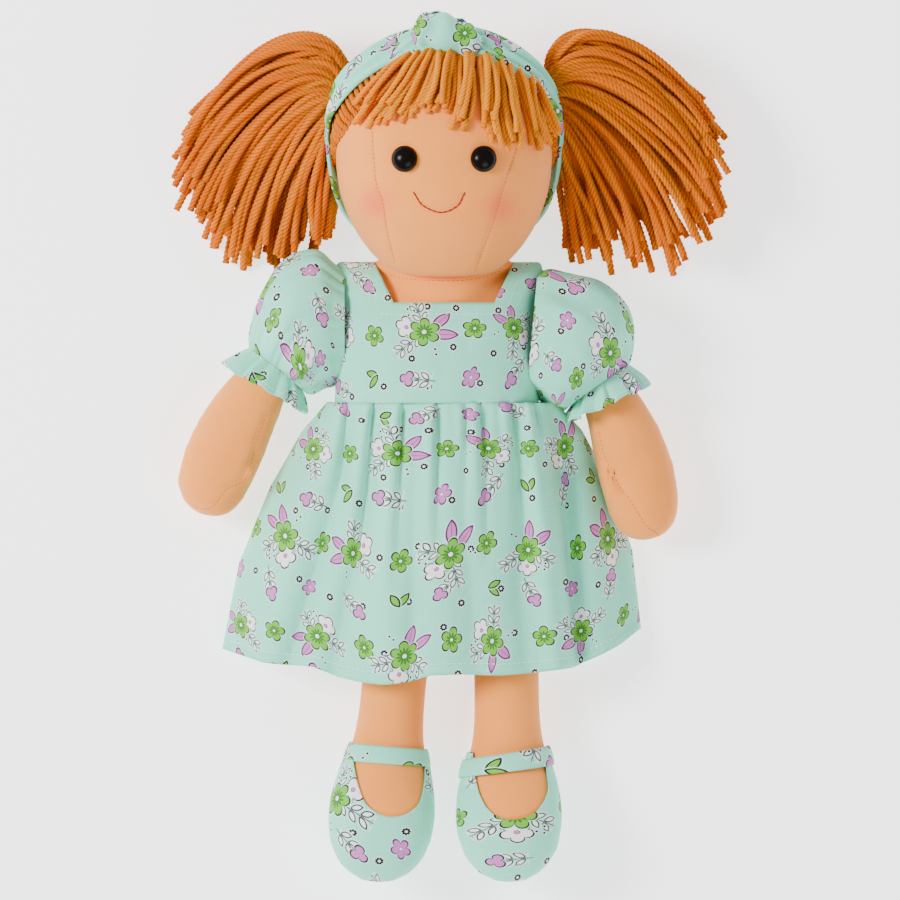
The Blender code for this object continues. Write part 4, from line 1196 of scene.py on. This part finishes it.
# Outer edge, inner edge, half depth and middle height of each ring, from the armhole to the elastic
SLEEVE_RINGS = {
    "right": mm((
        (-40, 31, -40, -10, 17, 26.2), (-44.5, 34.5, -43, -12.5, 20, 26.2), (-52, 39.8, -45.5, -14.5, 23.2, 26.2),
        (-63, 36.8, -49, -15.8, 24.6, 25.6), (-71.8, 27.5, -52, -16.6, 24, 24.6),
        (-76.6, 16, -54.8, -16.8, 21.2, 23.2), (-78.8, 6.2, -57.2, -16, 16.8, 21.6),
        (-78.2, 0.8, -58.2, -14.5, 12.8, 20.4),
    )),
    "left": mm((
        (37.5, 30, 33.5, -13, 17, 26.2), (43, 33, 34.5, -16, 20, 26.2), (52, 32.2, 37, -19.5, 23.2, 26.2),
        (62.5, 28.8, 40, -22, 24.6, 25.8), (71.2, 21.5, 43.2, -23.6, 24, 25.2), (75.5, 12, 46.2, -24.4, 21.2, 24.2),
        (76.2, 1.5, 49.2, -23.8, 16.8, 22.8), (74.5, -5.6, 51.6, -21.8, 12.8, 21.8),
    )),
}
FRILL_RINGS = {
    "right": mm(((-78.4, 1, -58, -14.7, 12.7, 20.4), (-81.8, -0.5, -56.7, -17.8, 14.2, 20.4),
                 (-86, -2.6, -56, -21.6, 16, 20.6), (-89.6, -5.2, -55.8, -25.2, 17.8, 20.8))),
    "left": mm(((74.7, -5.4, 51.4, -22, 12.7, 21.8), (77.7, -7.8, 49.6, -24.8, 14.2, 21.8),
                (80.6, -10.8, 48.2, -27.6, 16, 22), (82.8, -14, 47.4, -30.2, 17.8, 22.2))),
}


def sleeve_ring(rows, share, folds, seed, ripple=0.0, along=0.0, crease=0.0):
    """One ring between its two edges, rippled outwards and along the sleeve, with long creases."""
    ox, oy, ix, iy, depth, height = between(rows, share)
    outer, inner = Vector((ox, oy, height)), Vector((ix, iy, height))
    middle, half = (outer + inner) / 2, (outer - inner) / 2
    run = half.cross(UP).normalized()
    if run.y > 0:
        run = -run
    points = []
    for column in range(SLEEVE_COLUMNS):
        turn = -math.pi / 2 + 2 * math.pi * column / SLEEVE_COLUMNS
        across, up = math.cos(turn), math.sin(turn)
        warp = turn + 0.35 * noise(Vector((across * 2, up * 2, seed)))
        wave = 2 * abs(math.sin(folds / 2 * warp)) ** 0.7 - 1
        uneven = 0.6 + 0.7 * noise(Vector((across * 1.5, up * 1.5, seed + 4.0)))
        out = half.normalized() * across + UP * up
        point = middle + half * across + UP * (depth * up)
        point += out * (ripple * wave * uneven)
        point += run * (along * math.cos(folds * warp + 0.8) * uneven)
        soft = noise(Vector((point.x * 70, point.y * 70, point.z * 70 + seed)))
        fold = noise(Vector((across * 2.6, up * 2.6, share * 1.4 + seed)))
        point += out * (0.0008 * soft + crease * fold)
        point.z = max(GROUND_GAP, point.z)
        points.append(point)
    return points


for side, sign in SIDES.items():
    rows = SLEEVE_RINGS[side]
    seed = 3.0 if side == "left" else 8.0
    shares = [number / SLEEVE_STEPS for number in range(SLEEVE_STEPS + 1)]
    rings = []
    for share in shares:
        ripple = 0.0012 * math.exp(-share / 0.22) + 0.0024 * math.exp(-(1 - share) / 0.30)
        crease = 0.0044 * math.sin(math.pi * share)
        rings.append(sleeve_ring(rows, share, SLEEVE_FOLDS, seed, ripple, 0.0, crease))
    smooth_rings = [sleeve_ring(rows, share, SLEEVE_FOLDS, seed) for share in shares]
    sleeve = cloth(f"puffed_sleeve_{side}", rings, DRESS_WALL, (0.03 * sign, 0.052), smooth_rings)
    settle(sleeve, COTTON, None, (f"sleeve_{side}",))
    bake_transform(sleeve)
    rows = FRILL_RINGS[side]
    shares = [number / FRILL_STEPS for number in range(FRILL_STEPS + 1)]
    rings = [sleeve_ring(rows, share, FRILL_FOLDS, seed + 1, 0.0009 + 0.0020 * share, 0.0012 * share)
             for share in shares]
    smooth_rings = [sleeve_ring(rows, share, FRILL_FOLDS, seed + 1) for share in shares]
    frill = cloth(f"frill_{side}", rings, FRILL_WALL, (0.07 * sign, 0.011), smooth_rings)
    settle(frill, COTTON, f"arm_{side}", (f"cuff_frill_{side}",))
    lines = []
    for ring in (rings[2], rings[20]):
        middle = sum(ring, Vector()) / len(ring)
        lines.append([point + (point - middle).normalized() * 0.0001 for point in ring + ring[:1]])
    stitches(f"frill_stitching_{side}", lines, DRESS_THREAD, f"arm_{side}", 0.0020, 0.0014, 0.0003)


# %% [markdown]
# ## Cloth shoes
#
# The shoes are sewn from the dress cloth. Each is the foot's own form, grown by the thickness of cloth
# and hollowed by the foot, then cut open over the instep by a rounded shape. Exact Booleans between
# dense smooth forms leave a crisp cut edge. The strap is laid over the instep by rays cast inwards.

# %% Shoes and straps
VAMPS = {
    "right": mm(((-37.2, -156), (-36, -169), (-32.3, -181.2), (-26.2, -186.6), (-20.2, -187.8), (-14.2, -186.2),
                 (-9.5, -181.2), (-7.8, -170), (-8, -156))),
    "left": mm(((11.2, -156), (12.6, -172), (15.7, -181.8), (21.4, -187.7), (29.4, -188.9), (37.2, -185.6),
                (41.7, -177.8), (41, -168), (40, -156))),
}
STRAPS = {"right": mm(((-37.7, -161.7), (-8.5, -164.7))), "left": mm(((12.1, -169.2), (39.7, -163.7)))}
SHOE_TOP = {"right": -0.1612, "left": -0.1622}
SHOE_CLOTH = 0.0012
FOOT_ROOM = 0.0002
VAMP_LOW = 0.0240
STRAP_ROWS, STRAP_COLUMNS = 9, 65
STRAP_WIDTH = 0.0070
ANKLE_HEIGHT = 0.0165


def grown(item, name, grow):
    """A copy of a smooth closed piece, grown outwards."""
    made = linked(name, item.data.copy())
    points, facing = arrays(made)
    moved(made, points + facing * grow)
    return made


def cut(item, cutter):
    changed(item, "BOOLEAN", operation="DIFFERENCE", solver="EXACT", object=cutter)
    bpy.data.objects.remove(cutter)


def slab(name, outline, low, high):
    """A solid over an outline on the ground plan, between two heights."""
    count = len(outline)
    points = [(x, y, z) for z in (low, high) for x, y in outline]
    faces = [tuple(range(count))[::-1], tuple(range(count, 2 * count))] + woven(2, count)
    item = piece_from(name, points, faces)
    with opened(item) as shape:
        bmesh.ops.recalc_face_normals(shape, faces=shape.faces)
    return item


def grain_round(item, x, z, reach, shift):
    """A grain map wound about a line along Y through x and z."""
    mesh = item.data
    layer = mesh.uv_layers.get("grain") or mesh.uv_layers.new(name="grain")
    for face in mesh.polygons:
        centre = math.atan2(face.center.x - x, face.center.z - z)
        for loop, corner in zip(face.loop_indices, face.vertices):
            spot = mesh.vertices[corner].co
            turn = math.atan2(spot.x - x, spot.z - z)
            turn += 2 * math.pi * ((centre - turn > math.pi) - (turn - centre > math.pi))
            layer.data[loop].uv = (turn * reach + shift[0], spot.y + shift[1])


def strap_rings(tree, start, end):
    """Rows of spots across the instep, each pushed out from the leg's skin to a rounded strap."""
    (ax, ay), (bx, by) = start, end
    slope = (by - ay) / (bx - ax)
    rings = []
    for row in range(STRAP_ROWS):
        w = (row / (STRAP_ROWS - 1) - 0.5) * STRAP_WIDTH
        puff = 0.0011 + 0.0006 * math.sqrt(max(0.0, 1 - (w / 0.0036) ** 2))
        for step in range(STRAP_COLUMNS):
            turn = math.radians(-106 + 212 * step / (STRAP_COLUMNS - 1))
            out = Vector((math.sin(turn), 0, math.cos(turn)))
            ray = Vector(((ax + bx) / 2, (ay + by) / 2 + w, ANKLE_HEIGHT)) + out * 0.05
            ray.y += slope * (math.sin(turn) * 0.0145)
            rings.append(tree.ray_cast(ray, -out)[0] + out * puff)
    return rings


for side, sign in SIDES.items():
    leg = LEGS[side]
    low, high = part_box(f"shoe_{side}")
    middle_x = (low[0] + high[0]) / 2
    shoe = grown(leg, f"cloth_shoe_{side}", SHOE_CLOTH)
    cut(shoe, grown(leg, "foot_room", FOOT_ROOM))
    top, left, right = SHOE_TOP[side], middle_x - 0.05, middle_x + 0.05
    cut(shoe, slab("above_shoe", ((left, top), (right, top), (right, 0.1), (left, 0.1)), -0.01, 0.1))
    outline = [(p.x, p.y) for p in curve_through([(x, y, 0) for x, y in VAMPS[side]], 49)]
    cut(shoe, slab("vamp", outline, VAMP_LOW, 0.1))
    grain_round(shoe, middle_x, 0.018, 0.019, (0.05 * sign, 0.013))
    settle(shoe, COTTON, f"leg_{side}", (f"shoe_{side}",))
    start, end = STRAPS[side]
    points = strap_rings(tree_of(leg), start, end)
    strap = piece_from(f"cloth_strap_{side}", points, woven(STRAP_ROWS, STRAP_COLUMNS, False))
    with opened(strap) as shape:
        if shape.faces[:][200].normal.z < 0:
            bmesh.ops.reverse_faces(shape, faces=shape.faces)
    changed(strap, "SOLIDIFY", thickness=0.0009, offset=-1)
    grain_round(strap, (start[0] + end[0]) / 2, ANKLE_HEIGHT, 0.016, (0.024, 0.004 + 0.01 * sign))
    settle(strap, COTTON, f"leg_{side}", (f"shoe_strap_{side}",))


# %% [markdown]
# ## Hair on the head
#
# The wig is yarn sewn down along a parting and drawn to the two bunches. Every strand is a path over the
# head: its direction from the middle of the head turns from the parting to the bunch, and a ray finds
# how far out the skin is on the way. Short strands in front show where the yarn is sewn to the face.

# %% Strands over the head
YARN = 0.0030
YARN_REST = YARN * 0.56
THIN_YARN = YARN * 0.84
HEAD_CENTRE = Vector((0.0, 0.0760, 0.0450))
# Two lines round the head, seen from its side as heights up the head and above the ground: where the
# yarn is sewn to the face, and the middle of the band
HAIRLINE = mm(((130, 64), (116.1, 64.5), (110.9, 67.6), (100.8, 68), (90.7, 63.2), (85, 56), (81.5, 48),
               (78.5, 40), (76.5, 35)))
BAND_LINE = mm(((130, 56), (118, 54.8), (108, 52.5), (101, 48.8), (94.5, 42.5), (88.7, 37), (82.7, 34),
                (76.6, 32), (70, 30), (64, 27.5), (58, 24), (52, 19), (46, 12), (41.5, 5)))
TIES = {side: JOINTS[f"pigtail_{side}_swing"] for side in SIDES}
CAP_STRANDS = 42
LOOPS = 31


def over_head(direction, lift):
    """The spot on the head in a direction from its middle, raised by lift."""
    way = direction.normalized()
    spot, facing, _, _ = head_tree.ray_cast(HEAD_CENTRE + way * 0.2, -way)
    return spot + facing * lift


def tied_path(start, side, layer):
    """A strand over the head from a direction to the bunch on one side."""
    end = (TIES[side] - HEAD_CENTRE).normalized()
    path = []
    for step in range(23):
        share = step / 22
        way = start.normalized().slerp(end, min(1.0, share * 0.97))
        spot = over_head(way, YARN * 0.44 + layer * share ** 2)
        spot.z = max(spot.z, YARN_REST)
        path.append(spot)
    return path


cap_paths = []
for side, sign in SIDES.items():
    for number in range(CAP_STRANDS):
        turn = math.radians(32 - 164 * number / (CAP_STRANDS - 1))
        start = Vector((sign * 0.022, math.cos(turn), math.sin(turn)))
        cap_paths.append(tied_path(start, side, YARN * 0.5 * (number % 3) / 2))
strands("hair_over_head", cap_paths, CAP_HAIR, "head", YARN, ("hair_cap",), 3)


def round_head(places):
    """A line given from the side, wrapped over both sides of the head from the crown."""
    flat = curve_through([(y, z, 0) for y, z in places], 120)
    sides = {}
    for side, sign in SIDES.items():
        crown = head_tree.ray_cast(Vector((0, 0.3, flat[10].y)), Vector((0, -1, 0)))[0]
        hits = [head_tree.ray_cast(Vector((sign * 0.2, *spot.xy)), Vector((-sign, 0, 0)))[0] for spot in flat]
        sides[side] = [crown] + [hit for hit in hits if hit is not None]
    return sides


def evenly(points, count):
    """Spots at equal steps along a polyline."""
    runs = running(points)
    spots = []
    for number in range(count):
        want = runs[-1] * number / (count - 1)
        place = min(max(int(np.searchsorted(runs, want)) - 1, 0), len(points) - 2)
        share = (want - runs[place]) / max(runs[place + 1] - runs[place], 1e-9)
        spots.append(points[place].lerp(points[place + 1], share))
    return spots


def any_way(flat=1.0):
    """A random direction of random length, flattened upwards."""
    return Vector((random.uniform(-1, 1), random.uniform(-1, 1), flat * random.uniform(-1, 1)))


front_edge = round_head(HAIRLINE)
band_middle = round_head(BAND_LINE)
random.seed(13)
short_paths = []
for side in SIDES:
    edge = evenly(front_edge[side], LOOPS)
    under = evenly([spot for spot in band_middle[side] if spot.y > 0.0700], LOOPS)
    for number in range(LOOPS):
        start, end = under[number] - HEAD_CENTRE, edge[number] - HEAD_CENTRE
        nudge = 0.0004 * any_way()
        path = []
        for step in range(13):
            share = step / 12
            rise = YARN * (0.50 if number % 2 else 0.40) * math.cos(max(0.0, share - 0.8) / 0.2 * math.pi * 0.62)
            path.append(over_head(start.lerp(end, share) + nudge * share, rise))
        short_paths.append(path)
strands("hairline_yarn", short_paths, CAP_HAIR, "head", THIN_YARN, (), 5)
print("loops along the hairline:", len(short_paths))

# %% [markdown]
# ## The fringe
#
# Lighter strands come from under the band and fan out over the forehead in three layers. Their ends are
# ragged, lower on the doll's left, so each strand ends at its own place near a chosen line.

# %% Fringe
PIXEL = 0.0004032
PHOTO_MIDDLE = (444, 350)
# Places on the photograph: where the strands come from under the band, and where they end
FRINGE_ROOTS = ((412, 60), (424, 56), (438, 54), (454, 54), (470, 55), (486, 57), (502, 62), (516, 70), (528, 82))
FRINGE_ENDS = ((359, 131), (372, 128), (386, 131), (402, 129), (418, 121), (434, 118), (452, 128), (466, 134),
               (482, 132), (494, 148), (508, 151), (522, 152), (536, 151), (549, 147), (556, 141))


def on_plan(spot):
    return Vector(((spot[0] - PHOTO_MIDDLE[0]) * PIXEL, (PHOTO_MIDDLE[1] - spot[1]) * PIXEL, 0))


random.seed(11)
fringe_paths = []
for layer, count in ((0, 30), (1, 28), (2, 17)):
    roots = curve_through([on_plan(spot) for spot in FRINGE_ROOTS], count)
    ends = curve_through([on_plan(spot) for spot in FRINGE_ENDS], count)
    for root, end in zip(roots, ends):
        start_x, start_y = root.x + random.uniform(-0.0012, 0.0012), root.y + 0.0004
        end_x = end.x + random.uniform(-0.0028, 0.0028)
        end_y = end.y + random.uniform(-0.0014, 0.0040) + 0.0022 * layer
        sway = random.uniform(-0.0016, 0.0016)
        curl = random.uniform(-0.0011, 0.0011)
        path = []
        for step in range(21):
            t = step / 20
            x = start_x + (end_x - start_x) * (0.80 * t + 0.20 * t * t)
            x += sway * math.sin(math.pi * t) + curl * math.sin(2 * math.pi * t)
            y = start_y + (end_y - start_y) * t ** 1.15
            lift = YARN * (0.42 + 0.62 * layer * min(1.0, 0.25 + t * 1.6)) + 0.0005 * math.sin(math.pi * t)
            path.append(straight_down(head_tree, x, y, lift))
        fringe_paths.append(path)
strands("fringe_strands", fringe_paths, FRINGE, "head", THIN_YARN, ("fringe",), 9)
print("fringe strands:", len(fringe_paths))


# %% [markdown]
# ## The bunches
#
# A bunch leaves its tie as a tight bundle, rises, and falls out to ragged cut ends. Five key strands
# were chosen on the ground plan from the crest to the inner edge. All others lie between them, in an
# outer and an inner layer, and sink towards the ground as they go. A shaded core fills the middle.

# %% Bunches of yarn
# Root, two handles and tip of each key strand, as places on the photograph, from crest to inner edge
KEY_STRANDS = {
    "right": (
        ((346, 84), (352, 16), (252, 36), (187, 132)),
        ((340, 88), (322, 30), (232, 74), (186, 184)),
        ((340, 96), (306, 66), (236, 136), (206, 232)),
        ((344, 104), (316, 96), (262, 176), (258, 264)),
        ((350, 114), (337, 128), (331, 188), (322, 244)),
    ),
    "left": (
        ((548, 80), (546, 14), (640, 26), (716, 128)),
        ((552, 86), (574, 34), (668, 66), (716, 176)),
        ((552, 94), (586, 68), (672, 138), (706, 232)),
        ((548, 102), (576, 98), (636, 178), (656, 266)),
        ((545, 112), (558, 130), (566, 190), (573, 250)),
    ),
}
ROOT_HALF, FULL_HALF, LYING = 0.0052, 0.0150, 0.0175
BUNCH_STEPS = 26
# Strands in front, strands behind, least and greatest height of each layer
LAYERS = {"bunch": (52, 34, 0.82, 1.04), "bunch_inside": (32, 22, 0.05, 0.62)}
CORE_SHARE = np.array((0.80, 0.80, 0.92))
TIE_TURNS, TIE_STEPS, TIE_RADIUS, TIE_CORD = 3, 120, 0.0062, 0.0016


def bunch_path(side, across, height, reach):
    """One strand of a bunch: across from crest to inner edge, height from the ground up."""
    a, b, c, d = (Vector(between([on_plan(key[k]) for key in KEY_STRANDS[side]], across)) for k in range(4))
    tie = TIES[side]
    girth = math.sqrt(max(0.0, 1 - (2 * across - 1) ** 2))
    path = []
    for step in range(BUNCH_STEPS + 1):
        t = step / BUNCH_STEPS * reach
        flat = a * (1 - t) ** 3 + b * 3 * t * (1 - t) ** 2 + c * 3 * t * t * (1 - t) + d * t ** 3
        middle = tie.z + (LYING - tie.z) * min(1.0, t * 1.15) ** 0.9
        half = ROOT_HALF + (FULL_HALF - ROOT_HALF) * math.sin(min(1.0, t * 1.7) * math.pi / 2)
        flat.z = max(YARN_REST, middle + height * (0.35 + 0.65 * girth) * half)
        path.append(flat)
    return path


def waving_strand(side, place, upward, lowest, highest):
    """A strand near a place across the bunch, with a random height, length and wave."""
    across = min(1.0, max(0.0, place + random.uniform(-0.024, 0.024)))
    height = upward * random.uniform(lowest, highest)
    path = bunch_path(side, across, height, random.uniform(0.91, 1.02))
    wild, late = any_way(0.6), any_way(0.6)
    for step, spot in enumerate(path):
        t = step / BUNCH_STEPS
        spot += wild * (0.0042 * math.sin(math.pi * t)) + late * (0.0048 * t ** 2)
        spot += wild.cross(late) * (0.0013 * math.sin(3 * math.pi * t))
        spot.z = max(spot.z, YARN_REST)
    return path


random.seed(5)
for side, sign in SIDES.items():
    body = f"pigtail_{side}"
    for name, (front, behind, lowest, highest) in LAYERS.items():
        paths = [waving_strand(side, (number + 0.5) / count, upward, lowest, highest)
                 for count, upward in ((front, 1), (behind, -1)) for number in range(count)]
        nodes = (body,) if name == "bunch" else ()
        strands(f"{name}_{side}", paths, HAIR, body, YARN, nodes, 20 + sign, 0.0009)
    core = changed(merged(f"bunch_core_{side}", body), "REMESH", mode="VOXEL", voxel_size=0.0022)
    points, facing = arrays(core)
    tie = np.array(TIES[side])
    moved(core, tie + (points - facing * 0.0050 - tie) * CORE_SHARE)
    settle(core, CORE, body)
    way = TIES[side] - HEAD_CENTRE
    way.z = 0
    way.normalize()
    level = way.cross(UP).normalized()
    low, high = (Vector(corner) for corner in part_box(f"hair_tie_{side}"))
    cord = []
    for step in range(TIE_STEPS + 1):
        turn = 2 * math.pi * TIE_TURNS * step / TIE_STEPS
        cord.append((low + high) / 2 + way * (TIE_CORD * (2 * step / TIE_STEPS - 1))
                    + (level * math.cos(turn) + UP * math.sin(turn)) * TIE_RADIUS)
    strands(f"bunch_tie_{side}", [cord], HAIR, "head", TIE_CORD, (f"hair_tie_{side}",), 30, 0.0006)


# %% [markdown]
# ## The headband and its knot
#
# The band is a strip of the dress cloth, folded lengthwise into soft pleats and knotted on top. Its
# section is a flat loop with ripples on the outside; the loop is swept over the head along the hairline.
# The knot is two pleated bundles held by a wrap that crosses them aslant.

# %% Headband and knot
BAND_CLOTH = 0.0005
BAND_COLUMNS = 72
BAND_STEPS, KNOT_STEPS, WRAP_STEPS = 120, 30, 60
SEAM_ALLOWANCE = 1.1
KNOT = Vector((0.0006, 0.1254, 0.0592))
KNOT_SLANT = math.radians(-20)
KNOT_END = mm(((0, 0, -1), (6, 0, -1), (12.5, -1.4, -1.2), (19, -4.6, -2.2), (26.5, -9.8, -5.8)))


def swept_loop(name, path, facings, width, height, pleats, shift, nodes=(), seed=1.0, droop=0.0):
    """Sweep a flat loop of cloth along a path; width, height and pleats are functions of the share along."""
    rings = []
    for number, (spot, out) in enumerate(zip(path, facings)):
        share = number / (len(path) - 1)
        ahead = (path[min(number + 1, len(path) - 1)] - path[max(number - 1, 0)]).normalized()
        side = ahead.cross(out).normalized()
        up = side.cross(ahead).normalized()
        if up.dot(out) < 0:
            up = -up
        ring = []
        for column in range(BAND_COLUMNS):
            turn = -math.pi / 2 + 2 * math.pi * column / BAND_COLUMNS
            across, rise = math.cos(turn), math.sin(turn)
            bow = height(share) * math.copysign(abs(rise) ** 0.7, rise) - droop * abs(across) ** 2.4
            if rise > 0:
                slide = 0.9 * noise(Vector((share * 6, seed, across)))
                bow += pleats(share) * math.sin(across * 8.6 + slide * 2.4 + share * 4) * math.sqrt(rise)
            reach = width(share) / 2 * math.copysign(abs(across) ** 0.9, across)
            ring.append(spot + side * reach + up * bow)
        rings.append(ring)
    item = cloth(name, rings, BAND_CLOTH, shift)
    settle(item, COTTON, "head", nodes)
    girth = sum(girth_of(ring) for ring in rings) / len(rings)
    girth * SEAM_ALLOWANCE
    running(path)[-1] * SEAM_ALLOWANCE


path = evenly(band_middle["left"][::-1] + band_middle["right"][1:], BAND_STEPS + 1)
for _ in range(3):
    path = [path[0]] + [(a + 2 * b + c) / 4 for a, b, c in zip(path, path[1:], path[2:])] + [path[-1]]
facings, raised = [], []
for number, spot in enumerate(path):
    crown = math.sin(math.pi * number / BAND_STEPS)
    facings.append(((spot - HEAD_CENTRE).normalized() + UP * (0.55 * crown ** 2)).normalized())
    place = over_head(spot - HEAD_CENTRE, 0.0042 + 0.0014 * crown ** 3)
    place.z = max(place.z, 0.0030)
    raised.append(place)
swept_loop("headband_cloth", raised, facings, lambda s: 0.0118 + 0.0068 * math.sin(math.pi * s) ** 2,
           lambda s: 0.0011, lambda s: 0.0005 + 0.0006 * math.sin(math.pi * s) ** 4, (0.0, 0.031), ("headband",))

for side, sign in SIDES.items():
    path = curve_through([KNOT + Vector((sign * x, y, z)) for x, y, z in KNOT_END], KNOT_STEPS + 1)
    out = [Vector((0.25 * sign * step / KNOT_STEPS, 0.55, 1)).normalized() for step in range(KNOT_STEPS + 1)]
    swept_loop(f"knot_end_{side}", path, out, lambda s: 0.0078 + 0.0034 * s, lambda s: 0.0036 * (1 - 0.70 * s),
               lambda s: 0.0010 * (1 - 0.5 * s), (0.05 * sign, 0.02), (), 3.0)
slant = Matrix.Rotation(KNOT_SLANT, 4, "Z")
path, out = [], []
for step in range(WRAP_STEPS + 1):
    turn = 2 * math.pi * step / WRAP_STEPS
    way = slant @ Vector((0.10 * math.sin(turn), math.cos(turn), math.sin(turn)))
    path.append(KNOT + Vector((way.x * 0.0070, way.y * 0.0066, way.z * 0.0058)))
    out.append(slant @ Vector((0, math.cos(turn), math.sin(turn))))
swept_loop("knot_wrap", path, out, lambda s: 0.0260 + 0.0024 * math.sin(2 * math.pi * s), lambda s: 0.0021,
           lambda s: 0.0008, (0.018, 0.060), ("headband_knot",), 6.0, 0.0024)


# %% [markdown]
# ## Floor, light and camera
#
# The photograph is taken from straight above in soft, even light on white, so the doll lies on a pale
# floor under two broad lamps and a bright sky, and a long lens looks straight down.

# %% Stage
FLOOR_HALF = 3
WHITE = [1, 1, 1, 1]
corners = [(x * FLOOR_HALF, y * FLOOR_HALF, 0) for x, y in ((-1, -1), (1, -1), (1, 1), (-1, 1))]
floor = piece_from("floor", corners, [(0, 1, 2, 3)])
floor.location.z = -0.0003
FLOOR, net, shader = new_material("pale_floor", Base_Color=(252, 252, 252), Roughness=0.9)
fill(net, shader, Emission_Color=WHITE, Emission_Strength=1.6)
floor.data.materials.append(FLOOR)


def lamp(name, place, size, power):
    """A square lamp that shines on the middle of the floor."""
    light = bpy.data.lights.new(name, "AREA")
    light.shape = "SQUARE"
    light.size = size
    light.energy = power
    item = linked(name, light)
    item.location = place
    item.rotation_euler = (-Vector(place)).to_track_quat("-Z", "Y").to_euler()
    return item


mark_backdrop(floor, lamp("window", (-1.05, 0.25, 1.10), 0.5, 34), lamp("fill", (0.50, -1.0, 1.1), 0.9, 12))
world = bpy.data.worlds.new("studio")
world.use_nodes = True
fill(world.node_tree, world.node_tree.nodes["Background"], Color=WHITE, Strength=0.68)
bpy.context.scene.world = world

# %% Camera
VIEW_MIDDLE = Vector((0.0024, -0.0403, 0.0300))
VIEW_WIDTH = 0.3629
camera = linked("camera", bpy.data.cameras.new("camera"))
bpy.context.scene.camera = camera
camera.data.lens = 600
camera.data.sensor_width = 36
camera.location = VIEW_MIDDLE + UP * (VIEW_WIDTH * camera.data.lens / camera.data.sensor_width)
camera.data.clip_end = 30

# %% Finish
visual_low, visual_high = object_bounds()
sizes = {"cad": [list(cad_low), list(cad_high)], "visual": [list(visual_low), list(visual_high)]}
for label, (low, high) in sizes.items():
    print(label, [round(c * 1000, 1) for c in low], [round(c * 1000, 1) for c in high])
